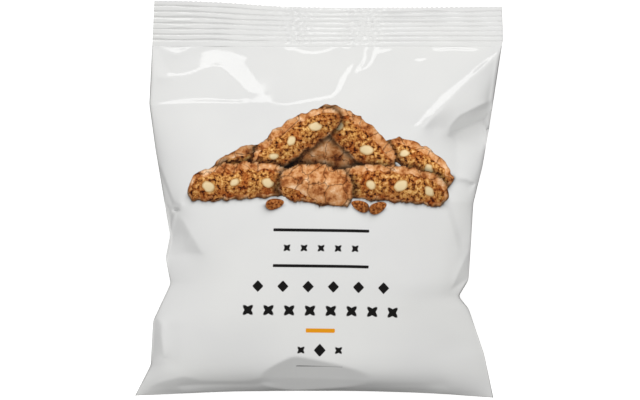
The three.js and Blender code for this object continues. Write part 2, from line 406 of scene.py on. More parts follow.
# The front's taut flats, folds and dents. Each adds its tilt to the smooth form that it lies on.
FRONT_PATCHES: tuple[TautPatch, ...] = (
    # Dimple under the left end of the top seal: its steep left rim.
    TautPatch((0, -0.6), 0.35, (
        (-55.5, 51), (-54, 41), (-49.5, 41), (-49.5, 42.5), (-51, 43.5), (-54.5, 51),
    )),
    # Its lower rim, which catches the key light.
    TautPatch((0, -0.45), 0.35, (
        (-50.1, 41.2), (-46.7, 41.3), (-43.4, 41.8), (-37.3, 44), (-34.3, 44.9), (-38, 45.2),
        (-40.7, 44.5), (-41.7, 43.8), (-44.4, 42.8), (-47.4, 42.4), (-50.1, 42.5),
    )),
    # Lens of film pulled flat by the seal's left end.
    TautPatch((-0.2, -0.75), 0.35, ((-53.5, 51.5), (-42.5, 51.5), (-48, 48.5), (-51, 50))),
    # Broad taut band from the seal towards the middle: its head,
    TautPatch((0, -0.45), 0.4, (
        (-41.5, 44.5), (-41.5, 47), (-40.5, 49.5), (-38.5, 50.5), (-32.5, 51.5), (-24.5, 48), (-24.5, 46),
        (-31.5, 45), (-38, 45),
    )),
    # its slanting run,
    TautPatch((-0.05, -0.45), 0.4, (
        (-34.5, 45), (-31.5, 45), (-24.5, 46), (-23, 43), (-19, 36), (-24, 35.5), (-26.5, 38.5),
        (-32.5, 44),
    )),
    # the knee where it meets the shelf,
    TautPatch((0, -0.25), 0.35, (
        (-24, 35.5), (-19, 36), (-16.5, 33), (-19, 32), (-24.5, 32), (-27, 33), (-24.5, 34),
    )),
    # and its thin tail.
    TautPatch((0.1, -0.15), 0.3, (
        (-17.8, 34.6), (-16.4, 33), (-13.7, 32), (-10.4, 32), (-7.4, 32.5), (-7.4, 31.9), (-10.7, 31.3),
        (-14.4, 31.4), (-17.4, 32.4), (-18.4, 33.5),
    )),
    # Long shelf from the left fold to the knee.
    TautPatch((0.25, -0.4), 0.3, (
        (-56.2, 32), (-50, 33.2), (-45.6, 33.8), (-38.2, 34.1), (-33.2, 33.5), (-26.1, 33.1),
        (-24.1, 32.1), (-43.2, 32.1), (-55.8, 31.7),
    )),
    # Thin fold that carries the shelf on over the heap.
    TautPatch((0.05, -0.2), 0.3, ((-7.4, 32.7), (4.6, 34.9), (5, 34), (-7.4, 31.8))),
    # Spindle-shaped fold that rises from it.
    TautPatch((0.3, -0.2), 0.35, (
        (11, 45.8), (11.7, 45.1), (9.7, 42), (8.8, 39.6), (7.7, 36.9), (5.6, 34.5), (4.6, 35.2),
        (6, 37.6), (6.8, 40.3), (8.4, 42.7),
    )),
    # Crumpled spot just under the seal.
    TautPatch((0, -0.25), 0.3, ((-11.7, 51.6), (-7.6, 51.6), (-8.5, 50.2), (-10.8, 50.2))),
    # Shallow arc under the middle of the seal.
    TautPatch((0.05, -0.25), 0.3, (
        (-7.8, 50.8), (-5.4, 50.1), (-2.1, 49.7), (1, 50), (3.7, 50.9), (6.4, 52.2), (6.9, 51.7),
        (4, 50.2), (1, 49.3), (-2.1, 48.9), (-5.4, 49.3), (-8, 50.2),
    )),
    # Bright spot where the arc ends.
    TautPatch((0.05, -0.35), 0.35, ((7.4, 52.2), (11.4, 52.2), (10.7, 50.5), (8.4, 50.5))),
    # Pair of pleats hung from the seal: the left one,
    TautPatch((0.5, -0.2), 0.3, (
        (14.6, 51.3), (16.1, 51.3), (16.1, 47.5), (15.1, 45.3), (13, 43.1), (12.2, 43.7), (14.1, 45.8),
        (14.8, 47.9),
    )),
    # and the longer right one.
    TautPatch((0.4, -0.15), 0.3, (
        (18.5, 51.3), (19.8, 51.3), (19.1, 47.9), (18.1, 45.5), (16.1, 43.6), (12.7, 42.4), (12.7, 43.2),
        (15.4, 44.4), (16.9, 46.2), (17.8, 48.2),
    )),
    # Short fold beside the pleats.
    TautPatch((0.05, -0.2), 0.3, ((19.1, 49.9), (24.2, 50.8), (24.5, 50.3), (21.8, 49.4), (19.5, 49.1))),
    # Line where the film leaves the seal on the right.
    TautPatch((0.05, -0.35), 0.3, (
        (38, 51.2), (40.7, 50.9), (44.8, 51.4), (53.6, 50.9), (53.6, 49.9), (49.5, 49.9), (44.8, 50.4),
        (40.7, 49.9), (38.7, 50.1),
    )),
    # Small dent.
    TautPatch((0.05, -0.3), 0.3, ((32.1, 47.4), (36, 47.6), (35.4, 46.4), (32.2, 46.2))),
    # Fainter dent below it.
    TautPatch((0.05, -0.25), 0.4, ((22, 29.6), (26.6, 29.6), (26.6, 28.6), (22, 28.6))),
    # Straight crease from the top right corner to the heap: by the corner,
    TautPatch((0.15, -0.4), 0.35, (
        (61, 50.9), (57.6, 48.2), (54.5, 45.9), (51.3, 43.2), (52.1, 41.8), (55.5, 44.8), (58.6, 47.7),
        (61.7, 50.2),
    )),
    # along its middle,
    TautPatch((0, -0.3), 0.35, ((51.5, 43), (40.5, 34.5), (42.5, 32.5), (52, 42))),
    # and at its wide lower end.
    TautPatch((0.3, -0.25), 0.35, (
        (40.5, 34.5), (35.5, 29.5), (31.5, 24.5), (35, 24), (37.5, 27.5), (42.5, 32.5),
    )),
    # The core of that end is steeper.
    TautPatch((0.1, -0.25), 0.35, ((36.5, 30.5), (31.5, 24.5), (35, 24), (38.5, 28.5))),
    # Flat facet between the straight crease and the right fold.
    TautPatch((-0.35, 0.3), 0.8, (
        (62, 50), (49, 38.5), (40, 29), (38, 27.5), (35.5, 24), (40.5, 23.5), (43.5, 24), (45, 26),
        (49, 29.5), (57, 33.5),
    )),
    # The facet rounds over towards the right fold,
    TautPatch((-0.25, 0.1), 2, ((52.5, 32), (56.5, 39), (62, 47), (70, 47), (68, 32))),
    # and more so close to the fold.
    TautPatch((-0.3, 0), 1.2, ((55, 31), (57.5, 39), (61, 46.5), (70, 47), (68, 31))),
    # Dark hollow where the facet turns under.
    TautPatch((-1.15, 1.5), 0.4, (
        (43.5, 21.5), (43.5, 24), (45, 26), (47, 28), (54.5, 32), (57, 33), (58, 30), (58, 26.5),
        (54, 26),
    )),
    # Side of the pack below that hollow.
    TautPatch((0.25, -0.4), 0.9, ((58, 26), (54, 26), (45.5, 22), (46, 8), (52.5, 7), (55.5, 16.5))),
    # Its upper part, next to the hollow, is less steep.
    TautPatch((0.15, 0.35), 0.5, ((60, 26), (54, 25.6), (46, 21), (46, 18), (52, 18), (58, 20))),
    # Crease across the right side.
    TautPatch((1.3, 0.65), 0.3, (
        (39.4, 3.9), (42.1, 5.3), (44.8, 6.3), (47.6, 7), (50, 6.5), (51.7, 5.3), (51.6, 4.3),
        (48.9, 5.5), (46.9, 6), (44.1, 5.4), (41.4, 4.3),
    )),
    # Small pinch at the end of the crease.
    TautPatch((0.55, -0.05), 0.3, ((49.6, 4.5), (52.1, 6), (51.7, 3), (50.7, 2.5))),
    # Light flat between that crease and the long flat.
    TautPatch((0.3, -0.2), 0.7, ((41, 3.5), (46.5, 5), (51, 4), (52.5, 1), (51.5, -0.8), (41, -0.8))),
    # Long flat on the right side.
    TautPatch((-0.1, 0.15), 0.9, (
        (42, -2.5), (46, -1), (52, -1), (52, -16.5), (50.5, -16.5), (47.5, -20.5), (45.5, -26), (45, -21),
        (46, -16), (44.5, -11), (43, -6.5),
    )),
    # Left border of the long flat.
    TautPatch((-0.15, -0.45), 0.5, (
        (42.3, -2.2), (44.1, -2.2), (44.8, -5.5), (47.2, -13.8), (47.2, -17.5), (45.8, -17.5),
        (45.5, -13.8), (42.9, -5.5),
    )),
    # Triangular hollow above the right notch.
    TautPatch((-0.9, -0.05), 0.35, ((51.5, -16.5), (50, -17), (48, -20.5), (44, -29.5), (51.5, -25))),
    # Narrow lens along the right notch.
    TautPatch((0.3, -0.35), 0.35, ((43.8, -30), (46.9, -28), (49.6, -26.6), (50.5, -27), (46.3, -32))),
    # Narrow flat down the left side.
    TautPatch((-0.15, 0.5), 0.5, ((-54, 13), (-48.5, -1), (-49.5, -2), (-51.5, -3), (-55, 11.5))),
    # Sharp line along the narrow flat.
    TautPatch((0.9, 0.35), 0.25, (
        (-53.1, 11.5), (-50.2, 4.1), (-48.2, -0.9), (-48.9, -1.2), (-50.9, 3.6), (-52.7, 8.3),
        (-53.5, 10.9),
    )),
    # Hollow at the left pinch.
    TautPatch((1.3, 0.55), 0.4, (
        (-51.5, -2), (-49.5, -2), (-47.5, -1), (-45.5, -1.5), (-45.5, -2.5), (-47, -4), (-49, -8.5),
        (-49.5, -11),
    )),
    # Deep side of the pinch.
    TautPatch((0.6, 0.1), 0.35, ((-50.4, -4.5), (-47.8, -4.5), (-49.9, -10.9), (-50.8, -7.5))),
    # Fine fold that runs down from the pinch.
    TautPatch((-0.8, -0.35), 0.25, (
        (-47.9, -4.9), (-47.1, -4.9), (-48.1, -7.5), (-49.2, -11.2), (-49.7, -11.2), (-48.8, -7.5),
    )),
    # Triangular hollow below the pinch.
    TautPatch((0.5, 0.35), 0.5, (
        (-46.5, -6), (-45, -7), (-38.5, -18), (-44, -18), (-51, -19), (-49.5, -13.5),
    )),
    # Deepest part of the triangular hollow.
    TautPatch((0.3, -0.05), 0.5, (
        (-47.5, -6.5), (-45, -9), (-43, -12), (-44, -15.5), (-47.5, -16), (-49.5, -13.5),
    )),
    # Its slanting border.
    TautPatch((-0.05, 0.05), 0.7, (
        (-46, -9), (-43.5, -11), (-38.5, -18), (-41, -17.5), (-44, -16), (-46.5, -12),
    )),
    # Flat on the left side, near the bottom.
    TautPatch((0.95, -0.1), 0.4, (
        (-55, -39), (-52, -41.5), (-52.5, -44.5), (-51.5, -52.5), (-57.5, -56), (-56, -41),
    )),
    # Pleat into the bottom left corner.
    TautPatch((-0.55, -0.6), 0.25, (
        (-51.6, -52.6), (-51.1, -53.3), (-53.9, -55.2), (-56.3, -57.2), (-58.4, -60.3), (-59, -60),
        (-57, -57), (-54.6, -54.6),
    )),
    # Belly of the film over the bottom seal, on the left: its edge,
    TautPatch((0, 0.65), 0.3, (
        (-57, -63.5), (-54, -61.5), (-49, -60), (-45, -59), (-42.5, -59.5), (-39.5, -60.5),
        (-24.5, -60.5), (-18.5, -59), (-18.5, -60.5), (-21, -62), (-40, -62),
    )),
    # its foot, which is steeper in the corner,
    TautPatch((0, 0.35), 0.35, ((-56, -63.5), (-47, -62.5), (-46.5, -65), (-60, -66))),
    # and flatter beside it.
    TautPatch((0, -0.75), 0.4, (
        (-47, -62.5), (-40, -62), (-21, -61.5), (-16, -61), (-16, -64.5), (-46.5, -65),
    )),
    # Foot of the dished end, on the right.
    TautPatch((0, -0.5), 0.4, ((9, -62.5), (28, -62), (42, -62), (44, -64.5), (36, -66), (9, -65))),
    # Lower half of the dished end.
    TautPatch((0, 0.35), 0.5, (
        (-18.5, -59.5), (10.5, -60), (37, -61.5), (37, -64), (20.5, -65), (-18.5, -65),
    )),
    # Wide shallow hollow on the lower right.
    TautPatch((-0.05, 0.3), 4, (
        (28.5, -30), (36.5, -28), (43.5, -30), (46.5, -32.5), (49, -38.5), (50.5, -48.5), (40, -50),
        (33.5, -43), (28.5, -36.5),
    )),
)


# ---- Meshes -------------------------------------------------------------------------------


def make_object(name: str, points: Array, faces: list[tuple[int, ...]], uv: Array) -> bpy.types.Object:
    """Makes a smooth-shaded mesh object.

    Args:
        name: the object's name.
        points: vertices in millimetres, as rows x, y, z.
        faces: vertex numbers of each face.
        uv: film coordinates of each face corner in millimetres, in the order of the faces.

    Returns:
        The object, linked to the scene.
    """
    mesh = bpy.data.meshes.new(name)
    mesh.from_pydata((points * MM).tolist(), [], faces)
    layer = mesh.uv_layers.new(name=BAKE_UV)
    layer.data.foreach_set("uv", (uv / UV_SPAN).astype(np.float32).ravel())
    mesh.validate()
    mesh.shade_smooth()
    obj = bpy.data.objects.new(name, mesh)
    bpy.context.scene.collection.objects.link(obj)
    return obj


def corners(grid: Array) -> Array:
    """The four corners of each cell of a grid, in turn round the cell."""
    return np.stack([grid[:-1, :-1], grid[:-1, 1:], grid[1:, 1:], grid[1:, :-1]], 2)


def grid_quads(index: Array) -> list[tuple[int, ...]]:
    """Faces of a grid of vertex numbers."""
    return [tuple(quad) for quad in corners(index).reshape(-1, 4).tolist()]


def make_sheet(
    name: str, upper: Array, lower: Array, film: Array, shift: tuple[float, float]
) -> bpy.types.Object:
    """Makes a thin closed sheet.

    Args:
        name: the object's name.
        upper: grid of points of its upper side.
        lower: grid of points of its lower side.
        film: film coordinates of the upper side's points.
        shift: how far the lower side's film lies from them in the UV square.

    Returns:
        The object, linked to the scene.
    """
    rows, columns = upper.shape[:2]
    count = rows * columns
    top = np.arange(count).reshape(rows, columns)
    faces = grid_quads(top) + [quad[::-1] for quad in grid_quads(top + count)]
    rim = np.concatenate([top[0], top[1:, -1], top[-1, -2::-1], top[-2:0:-1, 0]])
    for a, b in zip(rim.tolist(), np.roll(rim, -1).tolist()):
        faces.append((b, a, a + count, b + count))
    points = np.concatenate([side.reshape(-1, 3) for side in (upper, lower)])
    both = np.concatenate([side.reshape(-1, 2) for side in (film, film + shift)])
    return make_object(name, points, faces, both[np.array(faces)].reshape(-1, 2))


def add_value(obj: bpy.types.Object, name: str, values: Array) -> None:
    """Stores one number for each vertex of obj, for its material to read."""
    layer = obj.data.attributes.new(name, "FLOAT", "POINT")
    layer.data.foreach_set("value", values.astype(np.float32))


# ---- The pack's form ----------------------------------------------------------------------


@dataclass
class PillowForm:
    """The smooth form of the filled film tube, before its fine creases.

    A place on it is given by across, from -1 at the left fold to 1 at the right fold, and along,
    from 0 at the bottom fold to 1 at the top seal.
    """

    top_y: float = 51.7
    bottom_y: float = -65.0
    seal_z: float = 12.4
    # The folds' x at each y, then the bottom fold's y at each place across.
    left_fold: Pairs = (
        (-66.1, -62.0), (-55.5, -56.4), (-40.5, -55.4), (-28.0, -49.5), (-19.5, -51.2),
        (-12.0, -49.7), (16.7, -54.9), (32.0, -57.1), (51.6, -56.2),
    )
    right_fold: Pairs = (
        (-66.9, 58.8), (-51.5, 55.2), (-36.4, 49.9), (-32.3, 46.5), (-27.0, 49.8), (-1.5, 51.5),
        (11.0, 54.8), (26.0, 57.5), (51.6, 61.6),
    )
    bottom_line: Pairs = ((-1, -66.1), (-0.4, -64.7), (0.15, -64.5), (0.6, -65.2), (1, -66.9))
    # Heights at each y: the front's middle, the back's middle and the folds.
    crown: Pairs = (
        (-65, 12.6), (-63.5, 18.5), (-61, 24.6), (-58, 28.3), (-54, 30.3), (-48, 31.6), (-36, 33.5),
        (-20, 34.6), (-6, 34.2), (5, 32.6), (15, 29.2), (25, 24.8), (38, 18.8), (51.7, 12.6),
    )
    keel: Pairs = (
        (-65, 12.2), (-60, 9), (-56, 5.5), (-50, 0), (-44, -4), (0, -5), (15, -2), (25, 2), (38, 7),
        (51.7, 12.3),
    )
    side: Pairs = (
        (-65, 12.4), (-55, 17), (-45, 20), (-30, 22), (-8, 21.5), (10, 17), (25, 15), (51.7, 12.5),
    )
    # How full the back and the front are at each y. The lower the number, the fuller.
    roundness: Pairs = (
        (-65, 1), (-58, 0.72), (-48, 0.52), (0, 0.5), (25, 0.62), (38, 0.85), (51.6, 1),
    )
    front_roundness: Pairs = (
        (-65, 1), (-58, 0.9), (-15, 0.88), (6, 0.62), (22, 0.6), (36, 0.85), (51.6, 1),
    )
    flatness: float = 2.3  # how flat the middle of a panel is
    buckle_power: int = 7  # how closely a fold's buckles keep to the fold
    wave: float = 0.7  # how far the seal lines ripple up and down
    wave_length: float = 78.0
    wave_reach: float = 16.0  # how far into the pillow the ripple goes
    facets: tuple[Facet, ...] = (
        Facet(((61.6, 51.5, 12.4), (37, 23.5, 23.5), (57.4, 22, 14)), (14, 28), 1.5),
    )
    dish: Dish = Dish((-8.0, -51.7, 31.0), 1.35, (0.5, 0.22), 1.6, 0.45)
    # Each dent's two ends x, y, its width and its depth.
    dents: tuple[tuple[float, ...], ...] = (
        (48.5, -13, 45, -30, 3, 1.6),
        (39, 24, 56, 29, 3.5, 1.6),
        (-48.5, -3, -44, -17, 3.6, 1.8),
        (-50, -44, -50, -53, 3, 1.2),
    )

    def __post_init__(self) -> None:
        """Makes the curves."""
        corner_ease, panel_ease = 1.2, 16.0
        self.left = fold_line(self.left_fold, corner_ease)
        self.right = fold_line(self.right_fold, corner_ease)
        self.left_panel = fold_line(self.left_fold, panel_ease)
        self.right_panel = fold_line(self.right_fold, panel_ease)
        self.bottom = smooth_curve(self.bottom_line)
        self.crown_at = spring_curve(self.crown)
        self.keel_at = smooth_curve(self.keel)
        self.side_at = spring_curve(self.side)
        self.roundness_at = smooth_curve(self.roundness)
        self.front_roundness_at = spring_curve(self.front_roundness)

    def ripple(self, x: Array, y: Array) -> Array:
        """Finds how much the seal lines ripple up and down.

        Args:
            x: x of each point.
            y: y of each point.

        Returns:
            Rise of each point.
        """
        inwards = np.maximum(np.minimum(self.top_y - y, y - self.bottom_y), 0)
        fade = np.exp(-((inwards / self.wave_reach) ** 2))
        return self.wave * fade * np.sin(2 * math.pi * x / self.wave_length)

    def plan(self, across: Array, along: Array) -> tuple[Array, Array, Array]:
        """Places points in plan.

        Args:
            across: place from the left fold to the right fold.
            along: place from the bottom fold to the top seal.

        Returns:
            X and y of each point, and the nominal y of its row.
        """
        nominal = self.bottom_y + (self.top_y - self.bottom_y) * along
        bottom = self.bottom(across)
        y = bottom + (self.top_y - bottom) * along
        half = (across + 1) / 2
        broad = self.left_panel(y) + (self.right_panel(y) - self.left_panel(y)) * half
        left, right = self.left(y) - self.left_panel(y), self.right(y) - self.right_panel(y)
        buckle = np.where(across < 0, left, right)
        return broad + buckle * np.abs(across) ** self.buckle_power, y, nominal

    def bulge(self, across: Array, roundness: Array) -> Array:
        """How far a panel bulges, as a share of its bulge in the middle."""
        return np.maximum(1 - np.abs(across) ** self.flatness, 0) ** roundness

    def front(self, across: Array, along: Array) -> Array:
        """Makes points of the front panel.

        Args:
            across: place from the left fold to the right fold.
            along: place from the bottom fold to the top seal.

        Returns:
            The points, as an array whose last axis is x, y, z.
        """
        x, y, nominal = self.plan(across, along)
        low = self.side_at(nominal)
        swell = self.bulge(across, self.front_roundness_at(nominal))
        z = low + (self.crown_at(nominal) - low) * swell
        for x0, y0, x1, y1, width, depth in self.dents:
            run = np.array([x1 - x0, y1 - y0])
            t = np.clip(((x - x0) * run[0] + (y - y0) * run[1]) / (run @ run), 0, 1)
            distance = np.hypot(x - x0 - t * run[0], y - y0 - t * run[1])
            z = z - depth * np.exp(-((distance / width) ** 2)) * swell
        for facet in self.facets:
            z = facet.cut(x, y, z, low)
        z = self.dish.cut(x, y, z)
        return np.stack([x, y, z + self.ripple(x, y)], -1)

    def back(self, across: Array, along: Array) -> Array:
        """Makes points of the back panel, which lies flat where it meets the table.

        Args:
            across: place from the left fold to the right fold.
            along: place from the bottom fold to the top seal.

        Returns:
            The points, as an array whose last axis is x, y, z.
        """
        x, y, nominal = self.plan(across, along)
        low = self.side_at(nominal)
        swell = self.bulge(across, self.roundness_at(nominal))
        z = low - (low - self.keel_at(nominal)) * swell + self.ripple(x, y)
        return np.stack([x, y, np.maximum(z, 0)], -1)


def even_columns(surface: Callable[[Array, Array], Array], along: Array, columns: int) -> Array:
    """Spaces a panel's columns evenly over the film.

    Args:
        surface: the panel, as a function of across and along.
        along: place of each row.
        columns: number of columns, both folds included.

    Returns:
        Across of every grid point.
    """
    samples = 801
    fine = np.sin(np.linspace(-math.pi / 2, math.pi / 2, samples))
    points = surface(fine[None, :] + 0 * along[:, None], along[:, None] + 0 * fine[None, :])
    steps = np.linalg.norm(np.diff(points, axis=1), axis=2)
    run = np.concatenate([np.zeros((len(along), 1)), np.cumsum(steps, axis=1)], axis=1)
    share = np.linspace(0, 1, columns)
    return np.stack([np.interp(share * r[-1], r, fine) for r in run])


# ---- The printed front --------------------------------------------------------------------

FAR = 9.0  # millimetres, used as the distance where nothing is near


def turned(u: Array, v: Array, degrees: float) -> tuple[Array, Array]:
    """Coordinates along axes that are turned anticlockwise by an angle."""
    cos, sin = math.cos(math.radians(degrees)), math.sin(math.radians(degrees))
    return u * cos + v * sin, v * cos - u * sin


def ellipse(u: Array, v: Array, half_u: float, half_v: float) -> Array:
    """Rough distance outside an ellipse round the origin, negative inside it."""
    return (np.hypot(u / half_u, v / half_v) - 1) * min(half_u, half_v)


@dataclass(frozen=True)
class Slice:
    """A cut biscotto in the print: a half-oval with a crust round its crumb.

    Attributes:
        x: middle of it, across the film.
        y: middle of it, along the film.
        length: its length.
        height: its height.
        tilt: how far it leans, in degrees, anticlockwise.
        nuts: almonds in its cut face, each as place along and across it and size.
        tone: 1 in full light, less for one at the back.
        crusty: True where its crackled top is what shows.
        crown_share: share of its height that is above its middle.
    """

    x: float
    y: float
    length: float
    height: float
    tilt: float
    nuts: tuple[tuple[float, float, float], ...] = ()
    tone: float = 1.0
    crusty: bool = False
    crown_share: float = 0.62

    def local(self, u: Array, v: Array) -> tuple[Array, Array]:
        """Film coordinates turned to ones along and across the slice."""
        return turned(u - self.x, v - self.y, self.tilt)

    def outline(self, u: Array, v: Array) -> Array:
        """Measures from the slice's outline.

        Args:
            u: film coordinate to the right.
            v: film coordinate towards the top seal.

        Returns:
            Rough distance outside it, negative inside it.
        """
        p, q = self.local(u, v)
        seed = int(self.x * 7 + 900)
        p, q = p + 0.4 * ripple_noise(p, q, 6.0, seed), q + 0.35 * ripple_noise(p, q, 5.0, seed + 1)
        q = q + 0.12 * ripple_noise(p, q, 1.7, seed + 2)
        a, top, base = self.length / 2, self.height * self.crown_share, self.height * (1 - self.crown_share)

        def level(p: Array, q: Array) -> Array:
            """Forms a half-oval with a flat base.

            Args:
                p: place along the slice.
                q: place across the slice.

            Returns:
                A value that is below 0 inside it.
            """
            power = np.where(q > 0, 2.2, 4.5)
            tall = np.where(q > 0, top, base)
            return (np.abs(p / a) ** power + np.abs(q / tall) ** power) ** (1 / power) - 1

        step = 0.05
        here = level(p, q)
        slope = np.hypot(level(p + step, q) - level(p - step, q), level(p, q + step) - level(p, q - step))
        return here * 2 * step / np.maximum(slope, 1e-3)

    def face(self, u: Array, v: Array) -> Array:
        """Measures from the edge of the slice's crumb.

        Args:
            u: film coordinate to the right.
            v: film coordinate towards the top seal.

        Returns:
            Rough distance outside it, negative inside it.
        """
        p, q = self.local(u, v)
        crust = 0.8 + 2.3 * smooth_step(-0.1, 0.6, q / self.height)
        crust = crust + 0.4 * ripple_noise(p, q, 3.4, seed=int(self.x * 3 + 500))
        if self.crusty:
            crust = crust + self.height * smooth_step(-0.3, -0.12, q / self.height + 0.02 * p)
        return self.outline(u, v) + crust

    def nut(self, u: Array, v: Array) -> Array:
        """Measures from the nearest almond in the slice.

        Args:
            u: film coordinate to the right.
            v: film coordinate towards the top seal.

        Returns:
            Rough distance outside it, negative inside it.
        """
        p, q = self.local(u, v)
        p, q = p + 0.12 * ripple_noise(p, q, 2.4, seed=77), q + 0.12 * ripple_noise(p, q, 2.1, seed=78)
        nearest = np.full(np.shape(u), FAR)
        for i, (along, across, size) in enumerate(self.nuts):
            a, b = turned(p - along, q - across, 40 * math.sin(3.1 * i + self.x))
            nearest = np.minimum(nearest, ellipse(a, b, 1.25 * size, 0.9 * size))
        return nearest

    def light(self, u: Array, v: Array) -> Array:
        """Finds how light the print is inside the slice.

        Args:
            u: film coordinate to the right.
            v: film coordinate towards the top seal.

        Returns:
            Brightness of each point.
        """
        _, q = self.local(u, v)
        rim = smooth_step(0, 1.1, -self.outline(u, v))
        above = smooth_step(-0.25, 0.3, q / self.height)
        lit = 0.78 + 0.3 * above
        return self.tone * lit * (rim + (1 - rim) * (0.15 + 0.6 * above))


@dataclass
class FrontPrint:
    """The gravure print on the front: a heap of biscotti and almonds over plain ornament.

    Film coordinates run along the film from the middle of the front: u to the right and v up
    towards the top seal.

    Attributes:
        turn: how far the print leans on the film, in degrees.
        slices: the cut biscotti, from the back of the heap to its front.
        almonds: each whole almond's middle and how far it leans, in degrees.
        almond_half: half a whole almond's length and width.
    """

    turn: float = -0.9
    slices: tuple[Slice, ...] = (
        Slice(1, 14, 36, 15, 0, (), 0.62, True),
        Slice(-22, 12, 30, 10.5, 17, ((-8, 0.4, 1.6), (3, 0.6, 1.3)), 0.85),
        Slice(33, 13, 27, 10.5, -31, ((-6, 0.5, 1.5), (4, 0.3, 1.7)), 1.12),
        Slice(11.5, 20.5, 35, 12.5, -43, ((-8, 0.6, 1.8), (5, 0.4, 2.0))),
        Slice(-8, 20, 35, 12.5, 38, ((8.5, 0.6, 1.9), (-1, 1.2, 1.6), (-9, 0.2, 1.4))),
        Slice(-26, 4.6, 37, 12.5, 4, ((-11, 0.2, 2.0), (-2, 1.0, 1.5), (9, 0.1, 1.8))),
        Slice(24, 4.4, 40, 12.5, -3, ((-7, 0.4, 1.6), (3, 1.0, 2.1), (13, 0.0, 1.7))),
        Slice(-1, 3.6, 25, 13.5, -7, (), 1.0, True),
    )
    almonds: tuple[tuple[float, float, float], ...] = (
        (-14.5, -1.6, 12), (13.5, -1.9, 160), (19.5, -2.3, 25),
    )
    almond_half: tuple[float, float] = (3.1, 1.75)

    def values(self, u: Array, v: Array) -> dict[str, Array]:
        """The print as distances and tones at each film point.

        Args:
            u: film coordinate to the right.
            v: film coordinate towards the top seal.

        Returns:
            For each name, a value at every point. Distances are in millimetres and negative
            inside the printed shape.
        """
        u, v = turned(u, v, self.turn)
        heap, crumb, nut, skin = (np.full(u.shape, FAR) for _ in range(4))
        shade, ground = np.ones(u.shape), np.zeros(u.shape)
        for piece in self.slices:
            edge = piece.outline(u, v)
            inside = edge < 0
            # A piece in front darkens what is just behind it, and the table just below it.
            shade = np.where(inside, piece.light(u, v), shade * (0.2 + 0.8 * smooth_step(0, 2.6, edge)))
            under = smooth_step(piece.y - 2, piece.y - 5, v)
            ground = np.maximum(ground, np.exp(-np.maximum(edge, 0) / 0.45) * under)
            crumb = np.where(inside, piece.face(u, v), crumb)
            nut = np.where(inside, piece.nut(u, v), nut)
            heap = np.minimum(heap, edge)
        for x, y, angle in self.almonds:
            p, q = turned(u - x, v - y, angle)
            edge = ellipse(p, q * (1 + 0.09 * p), *self.almond_half)
            inside = edge < 0
            lit = 0.75 + 0.3 * smooth_step(-1.2, 1.2, v - y)
            shade = np.where(inside, lit, shade * (0.5 + 0.5 * smooth_step(0, 1.2, edge)))
            under = smooth_step(y + 0.5, y - 1, v)
            ground = np.maximum(ground, np.exp(-np.maximum(edge, 0) / 0.4) * under)
            skin = np.minimum(skin, edge)
            heap = np.minimum(heap, edge)
        tones = {"heap": heap, "crumb": crumb, "nut": nut, "skin": skin, "shade": shade}
        return {**tones, "ground": ground, **self.ornament(u, v)}

    def ornament(self, u: Array, v: Array) -> dict[str, Array]:
        """Draws the dark and the golden ornament below the heap.

        Args:
            u: film coordinate to the right.
            v: film coordinate towards the top seal.

        Returns:
            For each ink, its distance at every point.
        """
        # Each bar's middle, its distance below the middle of the front, and half its sizes.
        bars = ((0.9, 10.2, 15.8, 0.5), (0.9, 22.0, 15.8, 0.5), (0.9, 57.6, 7.9, 0.3), (1.1, 43.9, 4.8, 0.72))
        *shapes, gold = [self._bar(u - middle, v + below, *half) for middle, below, *half in bars]
        # Each row's motif, middle, pitch, distance below the middle of the front, size and places.
        rows = (
            (self._floret, 0.9, 5.6, 16.1, 1.5, range(-2, 3)),
            (self._lozenge, 1.0, 8.3, 29.0, 2.2, np.arange(-2.5, 3)),
            (self._floret, 1.0, 6.85, 37.2, 2.3, np.arange(-3.5, 4)),
            (self._lozenge, 1.0, 0.0, 50.6, 2.3, (0,)),
            (self._floret, 1.0, 6.2, 50.6, 1.6, (-1, 1)),
        )
        for motif, middle, pitch, below, size, places in rows:
            shapes += [motif(u - middle - pitch * i, v + below, size) for i in places]
        return {"dark_ink": np.minimum.reduce(shapes), "gold_ink": gold}

    @staticmethod
    def _bar(u: Array, v: Array, half_u: float, half_v: float) -> Array:
        """Distance to a bar."""
        return np.maximum(np.abs(u) - half_u, np.abs(v) - half_v)

    @staticmethod
    def _lozenge(u: Array, v: Array, size: float) -> Array:
        """Distance to a lozenge a little taller than it is wide."""
        return (np.abs(u) * 1.15 + np.abs(v) - size) / 1.5

    @staticmethod
    def _floret(u: Array, v: Array, size: float) -> Array:
        """Distance to four petals set crosswise."""
        petals = [ellipse(*turned(u, v, angle), size, 0.36 * size) for angle in (45, 135)]
        return np.minimum(*petals)


# ---- Materials ----------------------------------------------------------------------------


def srgb(code: str) -> tuple[float, float, float, float]:
    """Turns an sRGB hex colour to a linear one.

    Args:
        code: the colour, such as "#FFFFFF".

    Returns:
        Red, green, blue and alpha.
    """
    parts = [int(code[i : i + 2], 16) / 255 for i in (1, 3, 5)]
    linear = [c / 12.92 if c <= 0.04045 else ((c + 0.055) / 1.055) ** 2.4 for c in parts]
    return (*linear, 1.0)


def add_node(
    tree: Tree, kind: str, settings: dict | None = None, inputs: dict | None = None
) -> bpy.types.Node:
    """Adds a node with its settings and links.

    Args:
        tree: the node tree.
        kind: the node's type, such as "ShaderNodeMath".
        settings: attributes to set on the node.
        inputs: for each input socket, by name or number, a value or the output it is linked to.

    Returns:
        The node.
    """
    node = tree.nodes.new(kind)
    for name, value in (settings or {}).items():
        setattr(node, name, value)
    for name, value in (inputs or {}).items():
        if isinstance(value, Socket):
            tree.links.new(value, node.inputs[name])
        else:
            node.inputs[name].default_value = value
    return node


